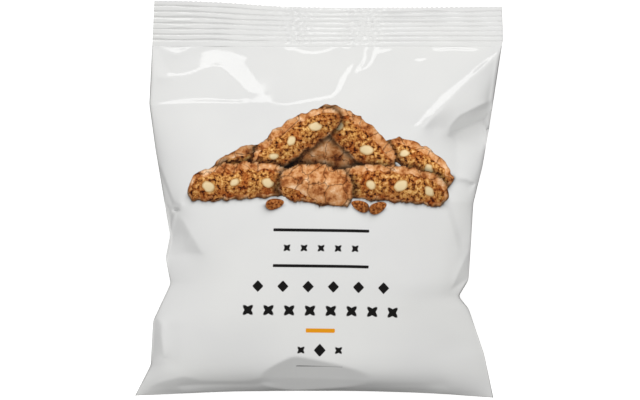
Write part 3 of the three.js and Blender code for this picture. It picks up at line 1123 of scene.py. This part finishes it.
def set_ramp(node: bpy.types.Node, stops: Stops) -> None:
    """Sets a colour ramp's stops.

    Args:
        node: the ramp's node.
        stops: position and sRGB hex colour of each stop.
    """
    ramp = node.color_ramp
    while len(ramp.elements) < len(stops):
        ramp.elements.new(0.5)
    for element, (position, code) in zip(ramp.elements, stops):
        element.position = position
        element.color = srgb(code)


FLAT_NOISE = {"noise_dimensions": "2D"}
# In a colour mix, input 0 is the share of the upper colour, 6 the lower colour and 7 the upper one.
MIX = {"data_type": "RGBA", "blend_type": "MIX"}
MULTIPLY = {"data_type": "RGBA", "blend_type": "MULTIPLY"}


class FilmSide(Enum):
    """Which film a piece is made of."""

    PRINTED = "printed"
    PLAIN = "plain"


@dataclass(frozen=True)
class GlossFilm:
    """White voided polypropylene film, gravure printed under a clear gloss lacquer.

    The film is drawn thin and cold, so it is flat, glossy and slightly crumpled: the eye sees
    crisp soft-box glints on every ridge over an even, slightly warm white.
    """

    white: str = "#D6D6D4"
    shadow_white: str = "#D2D2D1"
    ink: str = "#141312"
    gold: str = "#D98E12"
    shadow_ink: str = "#24140C"
    toast: str = "#D09468"
    roughness: tuple[float, float] = (0.06, 0.13)  # the smoothest and the roughest spots
    ior: float = 1.5
    cloud_mm: float = 30.0
    crumple_mm: float = 5.0
    crumple_height: float = 0.12
    grain_mm: float = 0.9
    grain_height: float = 0.03
    crack_mm: float = 6.0
    wander_mm: float = 5.0
    crust_mm: float = 3.6
    crumb_mm: float = 1.3
    patch_mm: float = 4.5
    skin_mm: float = 0.8

    def build(self, side: FilmSide) -> bpy.types.Material:
        """Makes the material.

        Args:
            side: printed or plain film.

        Returns:
            The material.
        """
        material = bpy.data.materials.new(f"gloss_film_{side.value}")
        material.use_nodes = True
        tree = material.node_tree
        tree.nodes.clear()
        film = add_node(tree, "ShaderNodeUVMap", {"uv_map": BAKE_UV}).outputs["UV"]
        whites = ((0.3, self.shadow_white), (0.7, self.white))
        colour = self._mottle(tree, film, (self.cloud_mm, 2.0, 0.5), whites)
        if side is FilmSide.PRINTED:
            colour = self._print(tree, film, colour)
        # Two layers of relief: soft crumples, and the film's fine grain over them.
        normal, heights = None, []
        for size_mm, height_mm, detail, rough, strength in (
            (self.crumple_mm, self.crumple_height, 3.0, 0.45, 0.2),
            (self.grain_mm, self.grain_height, 1.0, 0.5, 0.12),
        ):
            noise = {"Vector": film, "Scale": UV_SPAN / size_mm, "Detail": detail, "Roughness": rough}
            height = add_node(tree, "ShaderNodeTexNoise", FLAT_NOISE, noise).outputs["Fac"]
            relief = {"Strength": strength, "Distance": height_mm * MM, "Height": height}
            if normal is not None:
                relief["Normal"] = normal
            normal = add_node(tree, "ShaderNodeBump", inputs=relief).outputs["Normal"]
            heights.append(height)
        low, high = self.roughness
        spread = {"Value": heights[0], "To Min": low, "To Max": high}
        gloss = add_node(tree, "ShaderNodeMapRange", inputs=spread).outputs["Result"]
        surface = {"Base Color": colour, "Roughness": gloss, "IOR": self.ior, "Normal": normal}
        shader = add_node(tree, "ShaderNodeBsdfPrincipled", inputs=surface).outputs["BSDF"]
        add_node(tree, "ShaderNodeOutputMaterial", inputs={"Surface": shader})
        return material

    def _mottle(self, tree: Tree, film: Socket, grain: tuple[float, float, float], stops: Stops) -> Socket:
        """Lays a mottled colour over the film.

        Args:
            tree: the node tree.
            film: film coordinates.
            grain: size of the largest spots in millimetres, and the noise's detail and roughness.
            stops: the colours from the noise's low values to its high ones.

        Returns:
            The colour.
        """
        size_mm, detail, rough = grain
        noise = {"Vector": film, "Scale": UV_SPAN / size_mm, "Detail": detail, "Roughness": rough}
        spots = add_node(tree, "ShaderNodeTexNoise", FLAT_NOISE, noise).outputs["Fac"]
        colour = add_node(tree, "ShaderNodeValToRGB", inputs={"Fac": spots})
        set_ramp(colour, stops)
        return colour.outputs["Color"]

    def _inside(self, tree: Tree, name: str, blur: float) -> Socket:
        """Makes the mask of a printed shape.

        Args:
            tree: the node tree.
            name: name of the shape's stored distance.
            blur: width of the mask's edge, in millimetres.

        Returns:
            1 where the distance is negative and 0 elsewhere.
        """
        distance = add_node(tree, "ShaderNodeAttribute", {"attribute_name": name}).outputs["Fac"]
        border = {"From Min": -blur / 2, "From Max": blur / 2, "To Min": 1.0, "To Max": 0.0}
        border["Value"] = distance
        smooth = {"interpolation_type": "SMOOTHSTEP"}
        return add_node(tree, "ShaderNodeMapRange", smooth, border).outputs["Result"]

    def _print(self, tree: Tree, film: Socket, white: Socket) -> Socket:
        """The printed inks over the white film.

        Args:
            tree: the node tree.
            film: film coordinates.
            white: colour of the bare film.

        Returns:
            The colour of the printed film.
        """
        biscuit = self._biscuit(tree, film)
        ground = add_node(tree, "ShaderNodeAttribute", {"attribute_name": "ground"}).outputs["Fac"]
        shadow = {0: ground, 6: white, 7: srgb(self.shadow_ink)}
        colour = add_node(tree, "ShaderNodeMix", MIX, shadow).outputs[2]
        dark, gold = srgb(self.ink), srgb(self.gold)
        for name, blur, ink in (("heap", 0.25, biscuit), ("dark_ink", 0.2, dark), ("gold_ink", 0.2, gold)):
            layer = {0: self._inside(tree, name, blur), 6: colour, 7: ink}
            colour = add_node(tree, "ShaderNodeMix", MIX, layer).outputs[2]
        return colour

    def _biscuit(self, tree: Tree, film: Socket) -> Socket:
        """Colours of the printed heap: crackled crust, open crumb and almonds, in light and shade.

        Args:
            tree: the node tree.
            film: film coordinates.

        Returns:
            The colour.
        """
        crust_stops = (
            (0.3, "#5C2A10"), (0.41, "#9A5A2C"), (0.5, "#C08450"), (0.6, "#D09C6E"), (0.74, "#E8C49E"),
        )
        crumb_stops = (
            (0.32, "#280E04"), (0.42, "#743E16"), (0.49, "#AC7034"), (0.6, "#CE9A54"), (0.74, "#F0CA90"),
        )
        patch_stops = ((0.3, "#D4A888"), (0.6, "#FFFFFF"))
        skin_stops = ((0.35, "#4E2208"), (0.5, "#8E4E1E"), (0.68, "#B4743C"))
        nut_stops = ((0.5, "#7A4A1E"), (0.58, "#B8925E"), (0.85, "#DCC69C"))
        crust = self._mottle(tree, film, (self.crust_mm, 6.0, 0.62), crust_stops)
        crumb = self._mottle(tree, film, (self.crumb_mm, 4.0, 0.66), crumb_stops)
        patchy = self._mottle(tree, film, (self.patch_mm, 2.0, 0.5), patch_stops)
        skin = self._mottle(tree, film, (self.skin_mm, 3.0, 0.6), skin_stops)
        cut_nut = add_node(tree, "ShaderNodeValToRGB", inputs={"Fac": self._inside(tree, "nut", 2.4)})
        set_ramp(cut_nut, nut_stops)

        # Cracks run along the borders of cells, which noise bends a little.
        noise = {"Vector": film, "Scale": UV_SPAN / self.wander_mm, "Detail": 3.0, "Roughness": 0.6}
        wander = add_node(tree, "ShaderNodeTexNoise", FLAT_NOISE, noise).outputs["Fac"]
        bend = {0: 0.02, 4: film, 5: wander}
        bent = add_node(tree, "ShaderNodeMix", {"data_type": "VECTOR"}, bend).outputs[1]
        borders = {"voronoi_dimensions": "2D", "feature": "DISTANCE_TO_EDGE"}
        cells = {"Vector": bent, "Scale": UV_SPAN / self.crack_mm}
        crack = add_node(tree, "ShaderNodeTexVoronoi", borders, cells).outputs["Distance"]
        cracked = add_node(tree, "ShaderNodeValToRGB", inputs={"Fac": crack})
        set_ramp(cracked, ((0.0, "#3A180A"), (0.05, "#FFFFFF")))

        split = {0: 0.75, 6: crust, 7: cracked.outputs["Color"]}
        crust = add_node(tree, "ShaderNodeMix", MULTIPLY, split).outputs[2]
        crumb = add_node(tree, "ShaderNodeMix", MULTIPLY, {0: 1.0, 6: crumb, 7: patchy}).outputs[2]
        browned = {0: 1.0, 6: crumb, 7: srgb(self.toast)}
        colour = add_node(tree, "ShaderNodeMix", MULTIPLY, browned).outputs[2]
        # The crumb is toasted by the crust, and crust, nuts and skins lie over and round it.
        toasted = {0: self._inside(tree, "crumb", 5.0), 6: colour, 7: crumb}
        colour = add_node(tree, "ShaderNodeMix", MIX, toasted).outputs[2]
        baked = {0: self._inside(tree, "crumb", 0.5), 6: crust, 7: colour}
        colour = add_node(tree, "ShaderNodeMix", MIX, baked).outputs[2]
        for name, over in (("nut", cut_nut.outputs["Color"]), ("skin", skin)):
            layer = {0: self._inside(tree, name, 0.3), 6: colour, 7: over}
            colour = add_node(tree, "ShaderNodeMix", MIX, layer).outputs[2]
        shade = add_node(tree, "ShaderNodeAttribute", {"attribute_name": "shade"}).outputs["Color"]
        return add_node(tree, "ShaderNodeMix", MULTIPLY, {0: 1.0, 6: colour, 7: shade}).outputs[2]


@dataclass(frozen=True)
class TablePaper:
    """Matt white paper on the table, uncoated, so it takes the light evenly."""

    white: str = "#FBFBFA"
    glow: float = 0.5
    roughness: float = 0.9
    fibre_mm: float = 1.2
    fibre_height: float = 0.05

    def build(self) -> bpy.types.Material:
        """Makes the material.

        Returns:
            The material.
        """
        material = bpy.data.materials.new("table_paper")
        material.use_nodes = True
        tree = material.node_tree
        tree.nodes.clear()
        place = add_node(tree, "ShaderNodeTexCoord").outputs["Object"]
        noise = {"Vector": place, "Scale": 1 / (self.fibre_mm * MM), "Detail": 2.0}
        fibre = add_node(tree, "ShaderNodeTexNoise", inputs=noise).outputs["Fac"]
        relief = {"Strength": 0.05, "Distance": self.fibre_height * MM, "Height": fibre}
        surface = {
            "Base Color": srgb(self.white),
            "Roughness": self.roughness,
            "Normal": add_node(tree, "ShaderNodeBump", inputs=relief).outputs["Normal"],
            "Emission Color": srgb(self.white),
            "Emission Strength": self.glow,
        }
        shader = add_node(tree, "ShaderNodeBsdfPrincipled", inputs=surface).outputs["BSDF"]
        add_node(tree, "ShaderNodeOutputMaterial", inputs={"Surface": shader})
        return material


# ---- The film pack ------------------------------------------------------------------------


@dataclass
class FilmPillow:
    """The filled tube of film between the two seals, with its creases and its print."""

    form: PillowForm
    columns: int = 265
    back_columns: int = 45
    rows: int = 286
    patches: tuple[TautPatch, ...] = FRONT_PATCHES
    pinches: tuple[Pinch, ...] = (
        Pinch((-47.5, -3.6), (0.9, 0.5), 2.2),
        Pinch((51.2, 5.1), (0.8, 0.45), 1.0),
    )
    clearance: float = 0.03  # least distance between the two panels
    back_film: tuple[float, float] = (250.0, 140.0)  # where the back's edges lie across the UV square
    cap_film: tuple[float, float] = (1.0, 250.0)  # where the faces inside the seals lie in it
    artwork: FrontPrint = field(default_factory=FrontPrint)

    def build(self, finish: bpy.types.Material) -> bpy.types.Object:
        """Makes the pillow.

        Args:
            finish: the printed film's material.

        Returns:
            The object.
        """
        along = np.linspace(0, 1, self.rows)
        across = even_columns(self.form.front, along, self.columns)
        grid_along = along[:, None] + 0 * across
        front = self.form.front(across, grid_along)
        back_across = even_columns(self.form.back, along, self.back_columns)
        back = self.form.back(back_across, along[:, None] + 0 * back_across)
        back[:, 0], back[:, -1] = front[:, 0], front[:, -1]
        front = self._tighten(front, self.form.back(across, grid_along)[..., 2])

        steps = np.linalg.norm(np.diff(front, axis=1), axis=2)
        u = np.concatenate([np.zeros((self.rows, 1)), np.cumsum(steps, axis=1)], axis=1)
        u = u - np.array([np.interp(0, x, run) for x, run in zip(front[..., 0], u)])[:, None]
        middle = front[:, self.columns // 2]
        v = np.concatenate([[0], np.cumsum(np.linalg.norm(np.diff(middle, axis=0), axis=1))])
        v = (v - np.interp(0, middle[:, 1], v))[:, None] + 0 * across
        film = np.stack([u, v], -1) + FRONT_MIDDLE

        front_count = self.columns * self.rows
        inner = self.back_columns - 2
        points = np.concatenate([front.reshape(-1, 3), back[:, 1:-1].reshape(-1, 3)])
        front_index = np.arange(front_count).reshape(self.rows, self.columns)
        back_index = front_count + np.arange(self.rows * inner).reshape(self.rows, inner)
        back_full = np.concatenate([front_index[:, :1], back_index, front_index[:, -1:]], axis=1)
        back_u = np.linspace(*self.back_film, self.back_columns)[None, :]
        back_v = np.repeat(film[:, :1, 1], self.back_columns, axis=1)
        back_film = np.stack([back_u + 0 * back_v, back_v], -1)
        caps, cap_uv = self._caps(front_index, back_full)
        faces = grid_quads(front_index) + grid_quads(back_full[:, ::-1]) + caps
        uv = [corners(grid).reshape(-1, 2) for grid in (film, back_film[:, ::-1])]
        obj = make_object("film_pillow", points, faces, np.concatenate([*uv, cap_uv]))
        obj.data.materials.append(finish)
        for name, printed in self.artwork.values(u, v).items():
            full = np.full(len(points), {"shade": 1.0, "ground": 0.0}.get(name, FAR))
            full[:front_count] = printed.ravel()
            add_value(obj, name, full)
        return obj

    def _tighten(self, front: Array, back_z: Array) -> Array:
        """Gives the front panel's taut patches their slopes.

        Args:
            front: points of the front panel.
            back_z: heights of the back panel under them, which the front stays clear of.

        Returns:
            The panel's points with its relief, which fades out at both folds.
        """
        share = np.linspace(-1, 1, front.shape[1])
        hold = smooth_step(0, 0.015, 1 - np.abs(share))[None, :]
        x, y, z = np.moveaxis(front, -1, 0)
        z = z + FilmRelief(self.patches).at(x, y) * hold
        z = z - sum(pinch.sink(x, y) for pinch in self.pinches)
        return np.stack([x, y, np.maximum(z, back_z + self.clearance * hold)], -1)

    def _caps(self, front: Array, back: Array) -> tuple[list[tuple[int, ...]], Array]:
        """Makes the narrow faces that close the tube inside each seal.

        Args:
            front: vertex numbers of the front's grid.
            back: vertex numbers of the back's grid.

        Returns:
            The faces, and the film coordinates of their corners.
        """
        faces, uv = [], []
        ratio = (self.columns - 1) // (self.back_columns - 1)
        for row, upright in ((0, False), (-1, True)):
            for j in range(self.back_columns - 1):
                upper = front[row, j * ratio : (j + 1) * ratio + 1].tolist()
                lower = back[row, j : j + 2].tolist()
                loop = list(dict.fromkeys(upper + lower[::-1]))
                if not upright:
                    loop = loop[::-1]
                faces.append(tuple(loop))
                uv += [(self.cap_film[0] + 0.4 * j, self.cap_film[1])] * len(loop)
        return faces, np.array(uv)


@dataclass
class CrimpSeal:
    """One ribbed seal: two films pressed together between toothed jaws."""

    name: str
    ribs: int = 8
    pitch: float = 1.9
    first_groove: float = 2.05
    # A groove's depth, its rib's rise and its inner wall's slope, each across the pack.
    depth: Pairs = ((-60, 0.37), (-42, 0.34), (-25, 0.22), (0, 0.24), (62, 0.24))
    crown: Pairs = ((-60, 0.03), (-44, 0.05), (-28, 0.12), (-12, 0.1), (62, 0.09))
    inner: Pairs = ((-60, 0.68), (-44, 0.58), (-30, 0.38), (-16, 0.3), (-2, 0.56), (62, 0.56))
    outer: float = 0.85
    crushed: Pairs = ((-11.5, 5.5), (12.0, 6.5))  # middle and reach of each crumpled stretch
    deep_bite: tuple[float, float] = (28.0, 13.0)  # middle and reach of where the jaws bit deeper
    tooth: float = 1.7  # pitch of the cut edge's zigzag
    film: float = 0.14  # half the thickness of the two films
    film_place: tuple[float, float] = (62.0, 4.0)  # where the middle of its root lies in the UV square
    film_shift: tuple[float, float] = (0.0, 26.0)  # how far its underside lies from there
    columns: int = 330
    steps: int = 16  # rows for each rib

    def strip(
        self,
        middle: Callable[[Array, Array], Array],
        normal: Callable[[Array], Array],
        root: float,
        finish: bpy.types.Material,
    ) -> bpy.types.Object:
        """Makes the ribbed strip.

        Args:
            middle: middle surface at share across and distance from the root.
            normal: upward direction at share across.
            root: where the strip starts, inside the pillow.
            finish: the film's material.

        Returns:
            The object.
        """
        length = self.ribs * self.pitch
        q = np.concatenate([[root], np.linspace(0, length, self.ribs * self.steps + 1)])
        s = np.linspace(-1, 1, self.columns)
        grid_s, grid_q = np.meshgrid(s, q)
        reach = grid_q + self._teeth(grid_s) * smooth_step(length - 1.0, length, grid_q)
        base = middle(grid_s, reach)
        up = normal(grid_s)
        rib = self._rib(grid_s, grid_q)[..., None]
        over = base + up * (rib + self.film)
        under = base + up * (rib - self.film)
        film = np.stack([TUBE_HALF * grid_s, grid_q], -1) + self.film_place
        obj = make_sheet(self.name, over, under, film, self.film_shift)
        obj.data.materials.append(finish)
        return obj

    def _rib(self, s: Array, q: Array) -> Array:
        """Shapes the ribs, with sharp grooves between them and crumpled stretches.

        Args:
            s: share across, from -1 to 1.
            q: distance from the seal's root.

        Returns:
            Height of each point.
        """
        x = TUBE_HALF * s
        crush = sum(np.exp(-(((x - middle) / reach) ** 2)) for middle, reach in self.crushed)
        waver = 0.12 * ripple_noise(x, 2 * q, 16.0, seed=11)
        shift = waver + 0.12 * crush * ripple_noise(x, q, 4.0, seed=13)
        place = (q + shift - self.first_groove) / self.pitch
        away = (place - np.clip(np.round(place), 0, self.ribs - 2)) * self.pitch
        strength = np.maximum(1 + 0.3 * ripple_noise(x, q, 9.0, seed=12), 0.3) * (1 - 0.35 * crush)
        strength = strength + 0.7 * self._bitten(x) * smooth_step(8, 10, q)
        crown = smooth_curve(self.crown)(x) * (1 - np.minimum(2 * np.abs(away) / self.pitch, 1)) ** 2
        dents = (0.04 + crush) * ripple_noise(x, q, 1.7, seed=14) * smooth_step(0.3, 1.5, q)
        wall = np.abs(away) * np.where(away < 0, smooth_curve(self.inner)(x), self.outer)
        return 0.13 * dents - crown - np.maximum(smooth_curve(self.depth)(x) * strength - wall, 0)

    def _bitten(self, x: Array) -> Array:
        """Share of the deeper bite that the jaws took from the outer ribs."""
        return np.exp(-(((x - self.deep_bite[0]) / self.deep_bite[1]) ** 4))

    def _teeth(self, s: Array) -> Array:
        """Zigzag of the cut edge."""
        place = (s * TUBE_HALF / self.tooth) % 1
        return (0.2 + 0.45 * self._bitten(TUBE_HALF * s)) * (np.abs(2 * place - 1) - 0.5)


@dataclass
class TopSeal:
    """The seal at the top, which reaches past the filling and droops."""

    form: PillowForm
    root: float = -0.1  # where it starts, inside the pillow
    # How many degrees it droops at each x.
    droop: Pairs = ((-57, -6), (-46, 1), (-36, 9), (-12, 25), (8, 28.5), (20, 28.5), (62, 25))
    flare: float = 0.55  # how far its right end widens
    slant: float = 0.05  # how fast its left end narrows
    crimp: CrimpSeal = field(default_factory=lambda: CrimpSeal("top_seal"))

    def build(self, finish: bpy.types.Material) -> bpy.types.Object:
        """Makes the seal.

        Args:
            finish: the plain film's material.

        Returns:
            The object.
        """
        tilt_at = smooth_curve(self.droop)
        form = self.form
        left, right = (float(side(np.array(form.top_y))) for side in (form.left, form.right))

        def place(s: Array, q: Array) -> tuple[Array, Array]:
            """Places points across the seal.

            Args:
                s: share across, from -1 to 1.
                q: distance from the seal's root.

            Returns:
                X and tilt of each point.
            """
            spread = self.flare * smooth_step(0, 3, q)
            x = left + self.slant * q * (1 - s) / 2 + (right + spread - left) * (s + 1) / 2
            return x, np.radians(tilt_at(x))

        def middle(s: Array, q: Array) -> Array:
            """Makes points of the middle surface.

            Args:
                s: share across, from -1 to 1.
                q: distance from the seal's root.

            Returns:
                The points, as an array whose last axis is x, y, z.
            """
            x, tilt = place(s, q)
            y = form.top_y + q * np.cos(tilt)
            return np.stack([x, y, form.seal_z + form.ripple(x, form.top_y) - q * np.sin(tilt)], -1)

        def normal(s: Array) -> Array:
            """Upward direction."""
            _, tilt = place(s, 0 * s)
            return np.stack([0 * tilt, np.sin(tilt), np.cos(tilt)], -1)

        return self.crimp.strip(middle, normal, self.root, finish)


@dataclass
class BottomSeal:
    """The seal at the bottom, bent down at the fold line and tucked in under the pack."""

    form: PillowForm
    lean: float = 43.0  # degrees from upright
    inset: float = 0.8
    gap: float = 0.6  # how far behind the bottom fold it starts
    root: float = -0.3  # where it starts, inside the pillow
    crimp: CrimpSeal = field(default_factory=lambda: CrimpSeal("bottom_seal", columns=160, steps=8))

    def build(self, finish: bpy.types.Material) -> bpy.types.Object:
        """Makes the seal.

        Args:
            finish: the plain film's material.

        Returns:
            The object.
        """
        form, lean = self.form, math.radians(self.lean)
        corner_y, left = form.left_fold[0]
        right_y, right = form.right_fold[0]

        def middle(s: Array, q: Array) -> Array:
            """Makes points of the middle surface.

            Args:
                s: share across, from -1 to 1.
                q: distance from the seal's root.

            Returns:
                The points, as an array whose last axis is x, y, z.
            """
            inwards = q * math.sin(lean)
            start = form.left(corner_y + inwards) + self.inset
            end = form.right(right_y + inwards) - self.inset
            x = start + (end - start) * (s + 1) / 2
            across = np.clip(2 * (x - left) / (right - left) - 1, -1, 1)
            y = form.bottom(across) + self.gap + inwards
            z = form.seal_z + form.ripple(x, form.bottom_y) - q * math.cos(lean)
            return np.stack([x, y, z], -1)

        def normal(s: Array) -> Array:
            """Direction away from the table."""
            one = np.ones(s.shape)
            return np.stack([0 * one, math.cos(lean) * one, math.sin(lean) * one], -1)

        return self.crimp.strip(middle, normal, self.root, finish)


@dataclass
class LapSeam:
    """The lengthwise seam on the back, where the film's two edges overlap."""

    form: PillowForm
    width: float = 11.0
    rise: float = 0.5
    thickness: float = 0.4
    length: float = 120.0
    reach: tuple[float, float] = (0.03, 0.985)  # where it starts and ends along the pack
    film_place: tuple[float, float] = (30.0, 2.0)  # where its inside lies in the UV square
    film_shift: tuple[float, float] = (-20.0, 0.0)  # how far its outside lies from there
    rows: int = 120
    columns: int = 13

    def build(self, finish: bpy.types.Material) -> bpy.types.Object:
        """Makes the seam.

        Args:
            finish: the plain film's material.

        Returns:
            The object.
        """
        along = np.linspace(*self.reach, self.rows)[:, None]
        x = self.width / 2 * np.linspace(-1, 1, self.columns)[None, :] + 0 * along
        body = self.form.back(x / TUBE_HALF, along + 0 * x)
        body[..., 0] = x
        rise = self.rise * np.minimum(1, 30 * along * (1 - along))
        pucker = 1 + 0.25 * ripple_noise(body[..., 0], body[..., 1], 7.0, seed=5)
        outer, inner = body.copy(), body.copy()
        outer[..., 2] = np.maximum(body[..., 2] - rise * pucker, 0)
        inner[..., 2] = body[..., 2] + self.thickness
        v = np.linspace(0, self.length, self.rows)[:, None] + 0 * x
        film = np.stack([x, v], -1) + self.film_place
        obj = make_sheet("lap_seam", inner, outer, film, self.film_shift)
        obj.data.materials.append(finish)
        return obj


# ---- The studio ---------------------------------------------------------------------------


AIM_HEIGHT = 0.01  # metres above the table, where the lights point and the view's width is taken


@dataclass(frozen=True)
class SoftBox:
    """A soft light aimed at the pack.

    Attributes:
        name: the light's name.
        place: where it hangs, in metres.
        size: width and height, in metres.
        power: watts.
        mirrored: whether the film's gloss shows it.
    """

    name: str
    place: tuple[float, float, float]
    size: tuple[float, float]
    power: float
    mirrored: bool = True

    def build(self) -> None:
        """Hangs the light."""
        light = bpy.data.lights.new(self.name, "AREA")
        light.shape = "RECTANGLE"
        light.size, light.size_y = self.size
        light.energy = self.power
        obj = bpy.data.objects.new(self.name, light)
        obj.location = self.place
        aim = Vector((0, 0, AIM_HEIGHT)) - Vector(self.place)
        obj.rotation_euler = aim.to_track_quat("-Z", "Y").to_euler()
        obj.visible_glossy = self.mirrored
        bpy.context.scene.collection.objects.link(obj)


@dataclass
class Studio:
    """The pale table, the soft lights and the camera straight above.

    Attributes:
        table: width of the table, in metres.
        camera_height: height of the camera, in metres.
        camera_middle: x, y of the camera, in metres.
        view_width: width of what the camera sees at the aim height, in metres.
        sensor: width of the camera's sensor, in millimetres.
        sky: strength of the even light.
        below: share of it that comes from below.
        flagged: share of it that the film's gloss shows.
        lights: the soft boxes.
    """

    table: float = 3.0
    camera_height: float = 0.9
    camera_middle: tuple[float, float] = (0.0003, -0.0002)
    view_width: float = 0.21632
    sensor: float = 36.0
    sky: float = 0.69
    below: float = 0.2
    flagged: float = 0.15
    lights: tuple[SoftBox, ...] = (
        SoftBox("key_light", (-0.32, 1.06, 0.44), (1.5, 0.26), 4.0),
        SoftBox("top_light", (0.0, 0.5, 1.7), (2.4, 2.4), 21.0, False),
    )

    def build(self) -> None:
        """Makes the whole studio."""
        half = self.table / 2
        mesh = bpy.data.meshes.new("table")
        square = [(-half, -half, 0), (half, -half, 0), (half, half, 0), (-half, half, 0)]
        mesh.from_pydata(square, [], [(0, 1, 2, 3)])
        table = bpy.data.objects.new("table", mesh)
        table.data.materials.append(TablePaper().build())
        bpy.context.scene.collection.objects.link(table)
        # The table stays white but throws no light back on to the pack.
        table.visible_diffuse = False
        table.visible_glossy = False
        for light in self.lights:
            light.build()
        self._world()
        self._camera()
        bpy.context.scene.view_settings.view_transform = "Standard"

    def _world(self) -> None:
        """Even light from above, dimmer from below."""
        world = bpy.data.worlds.new("studio")
        world.use_nodes = True
        tree = world.node_tree
        tree.nodes.clear()
        facing = add_node(tree, "ShaderNodeTexCoord").outputs["Generated"]
        height = add_node(tree, "ShaderNodeSeparateXYZ", inputs={"Vector": facing}).outputs["Z"]
        horizon = {"Value": height, "From Min": -0.05, "From Max": 0.05, "To Min": self.below, "To Max": 1.0}
        above = add_node(tree, "ShaderNodeMapRange", inputs=horizon).outputs["Result"]
        # Black flags round the set: the film reflects little of the even light that falls on it.
        ray = add_node(tree, "ShaderNodeLightPath").outputs["Is Glossy Ray"]
        flags = {"Value": ray, "To Min": 1.0, "To Max": self.flagged}
        strength = self.sky
        for factor in (above, add_node(tree, "ShaderNodeMapRange", inputs=flags).outputs["Result"]):
            product = {0: strength, 1: factor}
            strength = add_node(tree, "ShaderNodeMath", {"operation": "MULTIPLY"}, product).outputs["Value"]
        even = {"Color": (1, 1, 1, 1), "Strength": strength}
        light = add_node(tree, "ShaderNodeBackground", inputs=even).outputs["Background"]
        add_node(tree, "ShaderNodeOutputWorld", inputs={"Surface": light})
        bpy.context.scene.world = world

    def _camera(self) -> None:
        """A camera straight above the pack, with the seal at the top of the view."""
        camera = bpy.data.cameras.new("camera")
        camera.sensor_width = self.sensor
        camera.lens = self.sensor * (self.camera_height - AIM_HEIGHT) / self.view_width
        camera.clip_start = 0.01
        obj = bpy.data.objects.new("camera", camera)
        obj.location = (*self.camera_middle, self.camera_height)
        bpy.context.scene.collection.objects.link(obj)
        bpy.context.scene.camera = obj


def main() -> None:
    """Builds the studio and the pack, and reports each piece."""
    logging.basicConfig(level=logging.INFO, format="%(name)s: %(message)s")
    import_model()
    Studio().build()
    form = PillowForm()
    film = GlossFilm()
    printed, plain = film.build(FilmSide.PRINTED), film.build(FilmSide.PLAIN)
    pieces = [
        FilmPillow(form).build(printed),
        TopSeal(form).build(plain),
        BottomSeal(form).build(plain),
        LapSeam(form).build(plain),
    ]
    for piece in pieces:
        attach(piece, "root")
        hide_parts(NODE)
        log.info("%s: %d faces", piece.name, len(piece.data.polygons))


if __name__ == "__main__":
    main()
